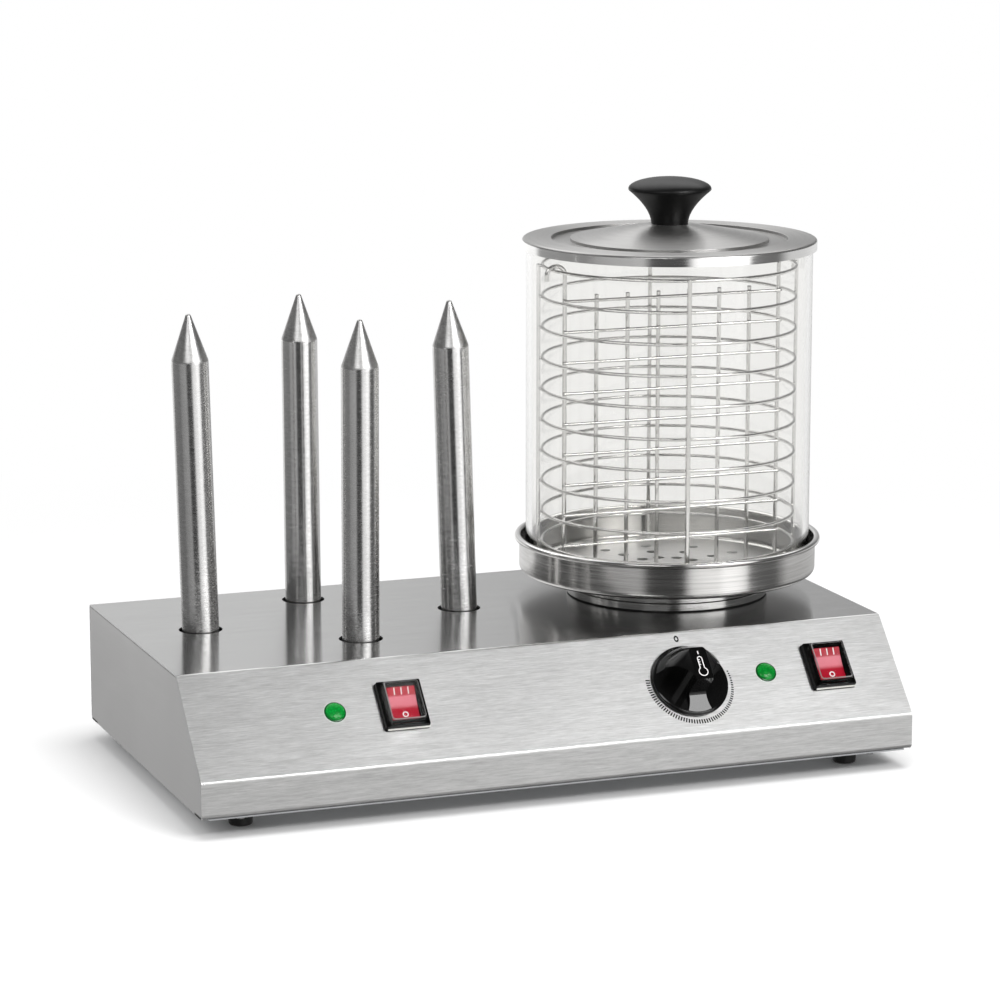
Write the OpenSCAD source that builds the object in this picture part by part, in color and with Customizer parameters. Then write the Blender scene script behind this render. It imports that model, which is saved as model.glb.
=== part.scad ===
// Electric hot dog maker: heated bun spikes and a glass steam jar on one folded steel base
// Millimetres, X to the right, Y to the back, Z up, origin on the table under the middle of the object

/* [Housing] */
// Width of the housing, side to side
body_w = 500; // [480:1:560]
// Depth of the housing, front to back
body_d = 275; // [260:1:310]
// Height of the folded housing, lower edge to top
body_h = 82; // [74:1:100]
// Height of the upright strip below the sloped panel
front_h = 24; // [16:1:30]
// Depth of the flat top
top_d = 221; // [208:1:232]
// Thickness of the housing sheet
sheet = 1.2; // [0.8:0.1:1.6]
// Outside radius of the folds
fold_r = 2.6; // [2.4:0.1:4]
// Width of the turned-in lower lips
lip = 16; // [13:1:24]
// Gap in the seam round each side panel
seam = 0.4; // [0.2:0.1:0.6]

/* [Base plate and feet] */
// Height of the housing's lower edge above the table
stand_h = 14; // [10:0.5:24]
// Thickness of the base plate
base_t = 1; // [0.8:0.1:2]
// Distance of the base plate's edge from the housing's side
base_inset = 5; // [3:0.5:8]
// Diameter of each rubber foot
foot_d = 17.5; // [15:0.5:24]
// Distance of each foot from the housing's side
foot_side = 35; // [25:1:60]
// Distance of each foot from the housing's front or back
foot_end = 32; // [28:1:60]
// Diameter of the foot screws
foot_screw_d = 4; // [3:0.5:5]
// Diameter of the base plate screws
base_screw_d = 3.5; // [3:0.5:5]
// Distance of the outer base plate screws from the housing's side
base_screw_side = 28; // [24:1:60]
// Length of the vent slots in the base plate
vent_l = 40; // [20:1:60]
// Width of the vent slots in the base plate
vent_w = 3; // [2:0.5:5]

/* [Bun spikes] */
// Diameter of each spike tube
spike_d = 25; // [20:0.5:28]
// Wall of each spike tube
spike_wall = 1; // [0.8:0.1:2]
// Height of the spike tips above the top
spike_h = 215.5; // [150:0.5:260]
// Length of the cone at the tip
spike_tip = 31.5; // [20:0.5:50]
// Radius of the blunt point
spike_nose = 2; // [1:0.5:4]
// Gap round each spike in its hole in the top
spike_gap = 2.3; // [1.5:0.1:4]
// Middle of the spike group, right of the housing's middle
spike_x = -106.4; // [-120:0.2:-100]
// Middle of the spike group, behind the housing's middle
spike_y = 35.6; // [20:0.2:44]
// Distance of the left and right spikes from the group's middle
spike_dx = 92.8; // [70:0.2:98]
// Distance of the front and rear spikes from the group's middle
spike_dy = 63.2; // [50:0.2:70]
// Sideways lean of the left, rear, front and right spike
spike_lean = [-1.4, -0.3, 0.2, -1.8]; // [-2:0.1:2]
// Depth of the spike bracket below the top sheet
bracket_drop = 28; // [20:1:36]
// Thickness of the spike bracket
bracket_t = 2; // [1.5:0.5:4]
// Rim of the spike bracket beyond the spike centres
bracket_rim = 24; // [20:1:28]
// Diameter of the studs under the spikes
spike_stud_d = 8; // [6:1:10]
// Diameter of the spike heaters
spike_heater_d = 12; // [8:0.5:14]
// Length of the spike heaters
spike_heater_l = 150; // [60:1:160]

/* [Water pan] */
// Distance of the pan's rim inside the housing's right side
jar_side = 0.1; // [0:0.1:10]
// Jar centre, behind the housing's middle
jar_y = 35.8; // [20:0.2:42]
// Gap between the glass and the pan's wall
pan_room = 3.3; // [1:0.1:6]
// Thickness of the pan
pan_t = 1.2; // [0.8:0.1:1.6]
// Height of the pan's underside above the top
pan_lift = 16; // [12:0.5:30]
// Height of the pan, underside to the middle of its rim
pan_h = 24; // [16:0.5:40]
// Diameter of the rolled rim
rim_d = 3.8; // [3:0.1:5]
// Overlap of the rolled rim on the pan's wall
rim_lap = 0.4; // [0.3:0.1:1]
// Outside radius of the pan's lower corner
pan_corner = 4; // [2:0.5:4]
// Gap between the water well and the collar
well_room = 2.6; // [1.5:0.1:8]
// Depth of the water well below the pan's shelf
well_deep = 14; // [8:0.5:14]
// Outside diameter of the collar's flange
collar_flange_d = 141.6; // [130:0.2:160]
// Step between the flange and the collar
collar_step = 1.5; // [1:0.1:6]
// Wall of the collar
collar_t = 1.5; // [1:0.1:1.5]
// Height of the collar's flange
collar_flange_h = 5.2; // [3:0.2:8]
// Thickness of the gasket under the flange
gasket_t = 0.8; // [0.5:0.1:2]
// Diameter of the ring heater's tube
ring_heater_d = 8; // [6:0.5:10]
// Diameter of the ring heater along its tube
ring_heater_over = 84; // [60:1:96]
// Diameter of the stud under the water well
pan_stud_d = 8; // [6:1:10]
// Depth of the clamp strap below the top sheet
strap_drop = 26; // [18:1:34]
// Width of the clamp strap
strap_w = 24; // [18:1:36]
// Thickness of the clamp strap
strap_t = 2; // [1.5:0.5:4]

/* [Glass, plate and lid] */
// Outside diameter of the glass
glass_d = 199; // [180:0.5:210]
// Wall of the glass
glass_wall = 4; // [3:0.5:4.5]
// Height of the glass
glass_h = 232; // [200:1:300]
// Gap between the perforated plate and the glass
plate_room = 2; // [0.5:0.1:6]
// Thickness of the perforated plate
plate_t = 1.2; // [0.8:0.1:2]
// Diameter of the holes in the perforated plate
plate_hole_d = 8; // [5:0.5:9]
// Distance between the rings of holes
plate_pitch = 20; // [18:0.5:20]
// Radius of the innermost ring of holes
plate_hole_r = 25; // [22:0.5:30]
// Gap between the glass and the lid's skirt
lid_room = 1.6; // [0.5:0.1:4]
// Thickness of the lid's sheet
lid_t = 1.2; // [0.8:0.1:1.6]
// Height of the lid's skirt
lid_skirt = 7.2; // [5:0.2:12]
// Radius of the lid's edge
lid_edge_r = 1.8; // [1.6:0.1:3]
// Width of the flat rim outside the groove in the lid
lid_land = 20.3; // [14:0.1:28]
// Width of the groove in the lid
groove_w = 13; // [8:0.5:18]
// Depth of the groove in the lid
groove_deep = 2.4; // [1.5:0.1:4]
// Rise of the lid from the groove's inner edge to the knob
lid_rise = 9.6; // [4:0.2:16]
// Diameter of the flat under the lid knob
lid_seat_d = 30; // [28:0.5:40]
// Diameter of the lid knob
lid_knob_d = 57.6; // [44:0.2:70]
// Diameter of the lid knob's neck
lid_neck_d = 25.6; // [20:0.2:28]
// Height of the lid knob
lid_knob_h = 32.2; // [26:0.2:44]
// Height of the domed top of the lid knob
lid_knob_dome = 8; // [5:0.2:10]
// Diameter of the screw in the lid knob
lid_screw_d = 6; // [4:0.5:8]
// Depth of the screw's hole in the lid knob
lid_screw_deep = 16; // [10:0.5:18]

/* [Basket and divider] */
// Gap between the basket and the glass
basket_room = 3.08; // [1:0.02:8]
// Wire of the rings
ring_wire = 2.4; // [2:0.1:3]
// Number of rings
ring_count = 10; // [6:1:10]
// Distance of the top ring below the glass's upper edge
ring_under = 16.75; // [16:0.05:40]
// Height of the lowest ring above the perforated plate
ring_low = 19.2; // [8:0.2:20]
// Wire of the basket's uprights
post_wire = 3; // [2.4:0.1:3.4]
// Turn of the basket in the jar
basket_turn = -14.5; // [-20:0.1:-10]
// Distance of the divider in front of the jar's centre
divider_y = 8.4; // [0:0.2:8.4]
// Wire of the divider's uprights
bar_wire = 3; // [2.4:0.1:3.2]
// Number of uprights in the divider
bar_count = 8; // [4:1:8]
// Distance of the divider's end uprights inside the basket's top ring
hook_in = 7.3; // [6:0.1:12]
// Wire of the divider's crossbars
cross_wire = 2.2; // [1.8:0.1:3]
// Number of crossbars
cross_count = 9; // [5:1:9]
// Distance of the top crossbar below the top ring
cross_under = 21.25; // [14:0.05:40]
// Height of the lowest crossbar above the perforated plate
cross_low = 21.6; // [14:0.2:22]
// Length of the upright beyond the top crossbar
bar_stub = 4; // [2.5:0.1:8]

/* [Controls] */
// Distance of the control row above the middle of the sloped panel
control_off = 2.377; // [-4:0.001:6]
// Left pilot light, right of the housing's middle
left_pilot_x = -151.6; // [-170:0.2:-148]
// Left switch, right of the housing's middle
left_switch_x = -106; // [-110:0.5:-70]
// Distance of the thermostat from the housing's right side
knob_side = 153; // [150:0.5:200]
// Distance of the thermostat below the control row
knob_drop = 2; // [0:0.1:4]
// Distance of the right pilot light from the housing's right side
right_pilot_side = 96.4; // [92:0.2:104]
// Distance of the right switch from the housing's right side
right_switch_side = 50.6; // [36:0.2:60]
// Diameter of the pilot lenses
pilot_d = 14.8; // [13:0.2:18]
// Height of the pilot lenses
pilot_h = 3; // [2:0.2:5]
// Diameter of the pilot lights' barrels
pilot_barrel_d = 10; // [8:0.5:11]
// Width of a switch bezel
bezel_w = 31; // [30:0.5:34]
// Height of a switch bezel along the slope
bezel_l = 35; // [34:0.5:40]
// Height of a switch bezel above the panel
bezel_h = 4.6; // [4:0.2:6]
// Overlap of the bezel on the panel
bezel_lap = 2; // [1:0.2:2.6]
// Depth of the switch housing behind the panel
switch_deep = 24; // [18:1:30]
// Width of a rocker
rocker_w = 19.2; // [15:0.2:20]
// Length of a rocker
rocker_l = 24.4; // [20:0.2:25]
// Tilt of a rocker to either side
rocker_tilt = 9; // [6:0.5:10]
// Height of the clear splash cap above the bezel
cap_h = 5.4; // [5:0.2:8]
// Wall of the clear splash cap
cap_wall = 0.8; // [0.6:0.1:1.2]
// Diameter of the thermostat knob's flange
knob_d = 53; // [44:0.5:56]
// Thickness of the knob's flange
knob_flange_h = 3; // [2.4:0.2:4]
// Height of the thermostat knob
knob_h = 25.2; // [20:0.2:26]
// Width of the knob's grip at its top
knob_bar_w = 12; // [10:0.5:14]
// Length of the knob's grip at its top
knob_bar_l = 24.2; // [20:0.2:26]
// Radius of the finger scoops beside the knob's grip
knob_scoop_r = 20; // [16:0.5:24]
// Diameter of the spindle
spindle_d = 6; // [5:0.5:7]
// Width of the thermostat body
stat_w = 44; // [36:1:50]
// Depth of the thermostat body
stat_deep = 28; // [20:1:32]
// Diameter of the thermostat's threaded neck
stat_neck_d = 10; // [9:0.5:12]

/* [Cable entry] */
// Length of the cable gland outside the back
gland_out = 10; // [6:0.5:30]
// Diameter of the cable gland's cap
gland_d = 18; // [14:0.5:20]
// Diameter of the cable that the gland takes
cable_d = 8; // [6:0.5:10]
// Thread diameter of the cable gland
gland_thread_d = 12; // [11:0.5:13]
// Distance of the cable gland from the housing's left side
gland_side = 20; // [16:1:80]
// Height of the cable gland above the housing's lower edge
gland_z = 39; // [26:0.5:60]

/* [Clearances] */
// Gap between pieces that only rest on each other
seat = 0.2; // [0.1:0.05:0.4]
// Gap between wires that are welded together
weld = 0.02; // [0.01:0.01:0.05]
// Gap between screwed or pushed-in pieces of one unit
fit = 0.05; // [0.02:0.01:0.1]
// Radial gap of a turning shaft in its bore
run = 0.05; // [0.03:0.01:0.1]
// Gap round pieces that pass through a hole
pass = 0.4; // [0.2:0.1:0.8]
// Gap round the water well in the top
well_pass = 1; // [0.5:0.1:2]
// Gap between a moving piece and its surroundings
free = 0.4; // [0.3:0.1:0.6]

/* [Hidden] */
$fn = 64;
arc_n = 5;
curve_n = 8;
cut = 1;
nut_ratio = 1.6;
thin_nut_ratio = 1.4;
head_ratio = 2;
washer_ratio = 3;
thread_past = 4;

y_mid = -gland_out / 2;
y_front = y_mid - body_d / 2;
y_back = y_mid + body_d / 2;
top_z = stand_h + body_h;
under_z = top_z - sheet;
panel_in = sheet + seam;
slope_run = body_d - top_d;
slope_rise = body_h - front_h;
slope_a = atan2(slope_rise, slope_run);
control_u = norm([slope_run, slope_rise]) / 2 + control_off;
knob_x = body_w / 2 - knob_side;
right_pilot_x = body_w / 2 - right_pilot_side;
right_switch_x = body_w / 2 - right_switch_side;
gland_x = gland_side - body_w / 2;
base_screw_x = body_w / 2 - base_screw_side;

pan_d = glass_d + 2 * (pan_room + pan_t);
rim_over = pan_d + 2 * (rim_d - rim_lap);
jar_x = body_w / 2 - rim_over / 2 - jar_side;
jar_at = [jar_x, y_mid + jar_y, 0];
pan_r = pan_d / 2;
collar_d = collar_flange_d - 2 * collar_step;
well_d = collar_d - 2 * (collar_t + well_room + pan_t);
pan_z = top_z + pan_lift;
shelf_z = pan_z + pan_t;
rim_z = pan_z + pan_h;
well_r = well_d / 2;
well_z = shelf_z - well_deep;
well_hole_r = well_r + pan_t + well_pass;
plate_d = glass_d - 2 * (glass_wall + plate_room);
plate_z = shelf_z + seat;
plate_top = plate_z + plate_t;
plate_spokes = 12;
plate_rings = 3;
plate_turn = 20;
glass_z = shelf_z + seat;
glass_top = glass_z + glass_h;

lid_z = glass_top + seat + lid_t;
lid_r = glass_d / 2 + lid_room + lid_t;
groove_r = lid_r - lid_land;
cone_r = groove_r - groove_w;
lid_seat_r = lid_seat_d / 2;
lid_seat_z = lid_z + lid_rise;
lid_knob_z = lid_seat_z + seat;
washer_t = 1.2;
screw_head_h = 3;
screw_end = 2;

ring_r = glass_d / 2 - glass_wall - basket_room - post_wire - weld - ring_wire / 2;
ring_z = plate_top + ring_low;
ring_top_z = glass_top - ring_under;
ring_pitch = (ring_top_z - ring_z) / (ring_count - 1);
post_r = ring_r + (ring_wire + post_wire) / 2 + weld;
cross_z = plate_top + cross_low;
cross_top_z = ring_top_z - cross_under;
cross_pitch = (cross_top_z - cross_z) / (cross_count - 1);
cross_y = -divider_y - (bar_wire + cross_wire) / 2 - weld;
hook_ring_x = sqrt(pow(ring_r, 2) - pow(divider_y, 2));
bar_span = 2 * (hook_ring_x - hook_in);
bar_pitch = bar_span / (bar_count - 1);
hook_r = (hook_in + (ring_wire + bar_wire) / 2 + free) / 2;
hook_room = hook_r - (bar_wire + ring_wire) / 2 - free;
hook_z = ring_top_z - sqrt(pow(hook_room + free / 2, 2) - pow(hook_room, 2));
hook_tail = 4;

spike_r = spike_d / 2;
spike_hole_d = spike_d + 2 * spike_gap;
spike_sites = [[-spike_dx, 0], [0, spike_dy], [0, -spike_dy], [spike_dx, 0]];
spike_below = sheet + bracket_drop;
bracket_x = spike_dx + bracket_rim;
bracket_y = spike_dy + bracket_rim;
bracket_z = under_z - bracket_drop;
trim_h = 20;
plug_h = 16;
plug_pocket = 6;
spike_nut_h = 6;
pillar_d = 10;
pillar_inset = 10;

strap_z = under_z - strap_drop;
strap_leg_h = strap_drop + strap_t;
strap_room = 10;
strap_leg_x = well_hole_r + strap_room;
pan_nut_h = 6.5;

foot_h = stand_h - base_t;
foot_taper = 2;
foot_bore_h = 7;
foot_screw_past = 1;
foot_head_h = 2.6;
foot_nut_h = 3.2;
base_head_h = 2;
base_head_d = head_ratio * base_screw_d;

bezel_hole_w = bezel_w - 2 * bezel_lap;
bezel_hole_l = bezel_l - 2 * bezel_lap;
bezel_corner = 1.5;
rocker_pivot = 1;
rocker_rise = 4.4;
rocker_dip = 1.2;
rocker_drop = 3;
trunnion_d = 3;
pocket_w = rocker_w + 2 * free;
trunnion_span = (pocket_w + bezel_hole_w) / 2;
pocket_l = rocker_l + 4 * free;
pocket_deep = 8;
cap_in = 1.5;
cap_w = bezel_w - 2 * cap_in;
cap_l = bezel_l - 2 * cap_in;
cap_r = 4;
stat_nut_h = 3;
stat_neck_h = 6;
knob_gap = 0.6;
knob_step = 2;
knob_edge = 1;
knob_tail_r = 6.5;
knob_scoop_past = 1.6;
spindle_in = 14;
spindle_out = 13;

function step_dir(p, i) = (p[i + 1] - p[i]) / norm(p[i + 1] - p[i]);
function inward(d) = [d[1], -d[0]];
function miter(a, b) = (a + b) / (1 + a * b);
function arc(c, r, a, turn) =
    [for (i = [0:arc_n]) let (b = a + turn * i / arc_n) c + r * [cos(b), sin(b)]];

// Fold of radius r at corner i of a clockwise outline, seen on a line that lies inset inside it
function fold(p, i, r, inset) =
    let (
        n0 = inward(step_dir(p, i - 1)),
        n1 = inward(step_dir(p, i)),
        start = atan2(-n0[1], -n0[0]),
        turn = acos(n0 * n1)
    )
    arc(p[i] + r * miter(n0, n1), r - inset, start, -turn);

// A clockwise open outline moved inwards by inset, with a fold of radius r at every inner corner
function folded_line(p, r, inset) =
    let (last = len(p) - 1)
    concat(
        [p[0] + inset * inward(step_dir(p, 0))],
        [for (i = [1:last - 1]) for (q = fold(p, i, r, inset)) q],
        [p[last] + inset * inward(step_dir(p, last - 1))]
    );
function backwards(p) = [for (i = [len(p) - 1:-1:0]) p[i]];
function rounded_rect(w, l, r) = concat(
    arc([w / 2 - r, l / 2 - r], r, 0, 90),
    arc([r - w / 2, l / 2 - r], r, 90, 90),
    arc([r - w / 2, r - l / 2], r, 180, 90),
    arc([w / 2 - r, r - l / 2], r, 270, 90)
);

hood_line = [
    [y_front, stand_h],
    [y_front, stand_h + front_h],
    [y_front + slope_run, top_z],
    [y_back, top_z],
    [y_back, stand_h]
];
wrap_line = concat(
    [[y_front + lip, stand_h]],
    hood_line,
    [[y_back - lip, stand_h]]
);

module along_x(x0, x1) {
    translate([x0, 0, 0])
        rotate([90, 0, 90])
            linear_extrude(height = x1 - x0)
                children();
}

// Local frame on the sloped panel: x to the right, y up the slope, z out of the panel
module on_slope(x, drop = 0) {
    translate([x, y_front, stand_h + front_h])
        rotate([slope_a, 0, 0])
            translate([0, control_u - drop, 0])
                children();
}

module rounded_block(w, l, h, r) {
    linear_extrude(height = h)
        polygon(rounded_rect(w, l, r));
}

module hex_nut(across, h, bore) {
    difference() {
        cylinder(d = across / cos(30), h = h, $fn = 6);
        translate([0, 0, -cut])
            cylinder(d = bore, h = h + 2 * cut);
    }
}

// Local frame of spike i at the top plate, leaning as the spike does
module at_spike(i) {
    translate([spike_x + spike_sites[i][0], y_mid + spike_y + spike_sites[i][1], top_z])
        rotate([0, spike_lean[i], 0])
            children();
}

module at_feet() {
    for (sx = [-1, 1])
        for (sy = [-1, 1])
            translate([sx * (body_w / 2 - foot_side), y_mid + sy * (body_d / 2 - foot_end), 0])
                children();
}

module at_base_screws() {
    for (sx = [-1, 1])
        for (sy = [-1, 1])
            translate([sx * base_screw_x, y_mid + sy * (body_d / 2 - lip / 2), stand_h])
                children();
    for (sx = [-1, 1])
        translate([sx * (body_w / 2 - (base_inset + lip) / 2), y_mid, stand_h])
            children();
}

module at_gland() {
    translate([gland_x, y_back, stand_h + gland_z])
        rotate([-90, 0, 0])
            children();
}

// Folded housing
module housing_shell() {
    color("silver") difference() {
        along_x(-body_w / 2, body_w / 2)
            polygon(concat(
                folded_line(wrap_line, fold_r, 0),
                backwards(folded_line(wrap_line, fold_r, sheet))
            ));
        for (sx = [-1, 1])
            translate([sx * body_w / 2, y_mid, stand_h + sheet])
                cube([2 * panel_in, body_d - 2 * panel_in, 2 * (fold_r + sheet)], center = true);
        for (i = [0:3])
            translate([spike_x + spike_sites[i][0], y_mid + spike_y + spike_sites[i][1], under_z - cut])
                cylinder(d = spike_hole_d, h = sheet + 2 * cut);
        translate(jar_at + [0, 0, under_z - cut])
            cylinder(r = well_hole_r, h = sheet + 2 * cut);
        for (x = [left_pilot_x, right_pilot_x])
            on_slope(x)
                translate([0, 0, -sheet - cut])
                    cylinder(d = pilot_barrel_d + 2 * pass, h = sheet + 2 * cut);
        for (x = [left_switch_x, right_switch_x])
            on_slope(x)
                translate([0, 0, -sheet - cut])
                    linear_extrude(height = sheet + 2 * cut)
                        square([bezel_hole_w + 2 * fit, bezel_hole_l + 2 * fit], center = true);
        on_slope(knob_x, knob_drop)
            translate([0, 0, -sheet - cut])
                cylinder(d = stat_neck_d + 2 * pass, h = sheet + 2 * cut);
        at_gland()
            translate([0, 0, -sheet - cut])
                cylinder(d = gland_thread_d + 2 * fit, h = sheet + 2 * cut);
        at_base_screws()
            cylinder(d = base_screw_d + 2 * fit, h = 2 * sheet + cut, center = true);
    }
}

// Side panels with their lower lips
module side_panel(side) {
    outer = side * body_w / 2;
    inner = outer - side * sheet;
    difference() {
        union() {
            along_x(min(outer, inner), max(outer, inner))
                polygon(folded_line(hood_line, fold_r, panel_in));
            translate([side * (body_w - lip) / 2, y_mid, stand_h + sheet / 2])
                cube([lip, body_d - 2 * (lip + seam), sheet], center = true);
        }
        at_base_screws()
            cylinder(d = base_screw_d + 2 * fit, h = 2 * sheet + cut, center = true);
    }
}
module left_side_panel() {
    color("silver") side_panel(-1);
}
module right_side_panel() {
    color("silver") side_panel(1);
}

// Base plate with vent slots
vent_rows = [-1, 0, 1];
vent_cols = [-4:4];
vent_rib = 9;
vent_row_gap = 20;
vent_pitch = vent_w + vent_rib;
vent_row_pitch = vent_l + vent_row_gap;
module base_plate() {
    color("gray") difference() {
        translate([0, y_mid, stand_h - base_t / 2])
            cube([body_w - 2 * base_inset, body_d - 2 * panel_in, base_t], center = true);
        at_base_screws()
            cylinder(d = base_screw_d + 2 * fit, h = 2 * base_t + cut, center = true);
        at_feet()
            translate([0, 0, foot_h - cut])
                cylinder(d = foot_screw_d + 2 * fit, h = base_t + 2 * cut);
        for (i = vent_cols)
            for (j = vent_rows)
                translate([i * vent_pitch, y_mid + j * vent_row_pitch, stand_h - base_t / 2])
                    cube([vent_w, vent_l, base_t + 2 * cut], center = true);
    }
}
module base_screws() {
    color("silver") at_base_screws() {
        translate([0, 0, -base_t - base_head_h])
            cylinder(d1 = base_head_d - base_head_h, d2 = base_head_d, h = base_head_h);
        translate([0, 0, -base_t])
            cylinder(d = base_screw_d, h = base_t + sheet + thread_past);
    }
}

// Rubber feet, each with a screw and a nut
module rubber_feet() {
    color("black") at_feet() difference() {
        cylinder(d1 = foot_d - foot_taper, d2 = foot_d, h = foot_h);
        translate([0, 0, -cut])
            cylinder(d = head_ratio * foot_screw_d + 2 * pass, h = foot_bore_h + cut);
        cylinder(d = foot_screw_d + 2 * fit, h = foot_h + cut);
    }
}
module foot_screws() {
    color("silver") at_feet() {
        translate([0, 0, foot_bore_h - foot_head_h])
            cylinder(d = head_ratio * foot_screw_d, h = foot_head_h);
        translate([0, 0, foot_bore_h])
            cylinder(d = foot_screw_d, h = foot_h - foot_bore_h + base_t + foot_nut_h + foot_screw_past);
    }
}
module foot_nuts() {
    color("silver") at_feet()
        translate([0, 0, stand_h])
            hex_nut(nut_ratio * foot_screw_d, foot_nut_h, foot_screw_d + 2 * fit);
}

// Bun spikes: tubes with a cone and a blunt point, cut level on the bracket
module below_bracket() {
    translate([0, 0, bracket_z - trim_h / 2])
        cube([2 * body_w, 2 * body_d, trim_h], center = true);
}
module spike(i) {
    nose_far = norm([spike_r, spike_tip - spike_nose]);
    nose_from = atan2(spike_nose - spike_tip, spike_r) + acos(spike_nose / nose_far);
    half = atan2(spike_r, spike_tip);
    bore = spike_r - spike_wall;
    thick = spike_wall / cos(half);
    bore_z = spike_h - spike_tip - (thick - spike_wall) * spike_tip / spike_r;
    bore_tip = spike_h - thick * spike_tip / spike_r - spike_nose;
    foot = -spike_below - cut;
    difference() {
        at_spike(i) rotate_extrude()
            polygon(concat(
                [[bore, foot], [spike_r, foot], [spike_r, spike_h - spike_tip]],
                arc([0, spike_h - spike_nose], spike_nose, nose_from, 90 - nose_from),
                [[0, bore_tip], [bore, bore_z]]
            ));
        below_bracket();
    }
}
module spike_left() {
    color("lightsteelblue") spike(0);
}
module spike_rear() {
    color("lightsteelblue") spike(1);
}
module spike_front() {
    color("lightsteelblue") spike(2);
}
module spike_right() {
    color("lightsteelblue") spike(3);
}

// Plugs in the lower ends of the spikes, with the studs that hold them
module spike_plugs() {
    stud_l = bracket_t + spike_nut_h + thread_past;
    color("dimgray") for (i = [0:3]) {
        difference() {
            at_spike(i) translate([0, 0, -spike_below - cut])
                cylinder(r = spike_r - spike_wall - fit, h = plug_h + cut);
            at_spike(i) translate([0, 0, plug_h - spike_below - plug_pocket])
                cylinder(d = spike_heater_d + 2 * fit, h = plug_pocket + cut);
            below_bracket();
        }
        at_spike(i) translate([0, 0, -spike_below - stud_l])
            cylinder(d = spike_stud_d, h = stud_l + cut);
    }
}
module spike_heaters() {
    color("darkkhaki") for (i = [0:3])
        at_spike(i) translate([0, 0, plug_h - spike_below - plug_pocket])
            cylinder(d = spike_heater_d, h = spike_heater_l);
}
module spike_nuts() {
    color("goldenrod") for (i = [0:3])
        at_spike(i) translate([0, 0, -spike_below - bracket_t - pass - spike_nut_h])
            hex_nut(nut_ratio * spike_stud_d, spike_nut_h, spike_stud_d + 2 * fit);
}

// Bracket that carries the spikes, hung from the top on pillars
module at_pillars() {
    for (sx = [-1, 1])
        for (sy = [-1, 1])
            translate([
                spike_x + sx * (bracket_x - pillar_inset),
                y_mid + spike_y + sy * (bracket_y - pillar_inset),
                bracket_z
            ])
                children();
}
module spike_bracket() {
    color("gray") difference() {
        translate([spike_x, y_mid + spike_y, bracket_z - bracket_t])
            rounded_block(2 * bracket_x, 2 * bracket_y, bracket_t, pillar_inset);
        for (i = [0:3])
            at_spike(i) translate([0, 0, -spike_below - bracket_t - cut])
                cylinder(d = spike_stud_d + 2 * pass, h = bracket_t + 2 * cut);
    }
}
module bracket_pillars() {
    color("silver") at_pillars()
        cylinder(d = pillar_d, h = bracket_drop);
}

// Water pan with a rolled rim and a shelf for the glass
module boiler_pan() {
    corner = [pan_r - pan_corner, pan_z + pan_corner];
    shelf_r = well_r + pan_t + weld;
    color("lightgray") translate(jar_at) {
        rotate_extrude()
            polygon(concat(
                [[shelf_r, shelf_z], [shelf_r, pan_z]],
                arc(corner, pan_corner, 270, 90),
                [[pan_r, rim_z], [pan_r - pan_t, rim_z]],
                backwards(arc(corner, pan_corner - pan_t, 270, 90))
            ));
        rotate_extrude()
            translate([(rim_over - rim_d) / 2, rim_z])
                circle(d = rim_d);
    }
}

// Water well, a cup welded into the pan's shelf
module water_well() {
    color("lightgray") translate(jar_at) difference() {
        translate([0, 0, well_z - pan_t])
            cylinder(r = well_r + pan_t, h = well_deep + pan_t);
        translate([0, 0, well_z])
            cylinder(r = well_r, h = well_deep + cut);
    }
}

// Collar between the pan and the top, with its gasket
module boiler_collar() {
    collar_r = collar_d / 2;
    flange_r = collar_flange_d / 2;
    low = top_z + gasket_t;
    color("lightgray") translate(jar_at) rotate_extrude()
        polygon([
            [collar_r - collar_t, low],
            [flange_r, low],
            [flange_r, low + collar_flange_h],
            [collar_r, low + collar_flange_h],
            [collar_r, pan_z],
            [collar_r - collar_t, pan_z]
        ]);
}
gasket_back = 0.5;
module collar_gasket() {
    color("black") translate(jar_at + [0, 0, top_z]) difference() {
        cylinder(d = collar_flange_d - 2 * gasket_back, h = gasket_t);
        translate([0, 0, -cut])
            cylinder(r = well_hole_r, h = gasket_t + 2 * cut);
    }
}

// Ring heater under the water well, with its two upright terminals
heater_gap = 30;
leg_turn = 6;
leg_h = 16;
module ring_heater() {
    mid_r = ring_heater_over / 2;
    mid_z = well_z - pan_t - fit - ring_heater_d / 2;
    color("dimgray") translate(jar_at + [0, 0, mid_z]) {
        rotate([0, 0, heater_gap / 2])
            rotate_extrude(angle = 360 - heater_gap)
                translate([mid_r, 0])
                    circle(d = ring_heater_d);
        for (s = [-1, 1])
            rotate([0, 0, s * (heater_gap / 2 + leg_turn)])
                translate([mid_r, 0, -leg_h])
                    cylinder(d = ring_heater_d / 2, h = leg_h);
    }
}

// Stud, strap and nut that pull the pan down on its collar
module pan_stud() {
    foot_z = strap_z - strap_t - pan_nut_h - thread_past;
    color("silver") translate([jar_at[0], jar_at[1], foot_z])
        cylinder(d = pan_stud_d, h = well_z - pan_t - foot_z);
}
module pan_strap() {
    color("gray") translate(jar_at) difference() {
        union() {
            translate([0, 0, strap_z - strap_t / 2])
                cube([2 * strap_leg_x, strap_w, strap_t], center = true);
            for (s = [-1, 1])
                translate([s * (strap_leg_x - strap_t / 2), 0, strap_z - strap_t + strap_leg_h / 2])
                    cube([strap_t, strap_w, strap_leg_h], center = true);
        }
        translate([0, 0, strap_z - strap_t - cut])
            cylinder(d = pan_stud_d + 2 * pass, h = strap_t + 2 * cut);
    }
}
module pan_nut() {
    color("goldenrod") translate(jar_at + [0, 0, strap_z - strap_t - pan_nut_h])
        hex_nut(nut_ratio * pan_stud_d, pan_nut_h, pan_stud_d + 2 * fit);
}

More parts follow.
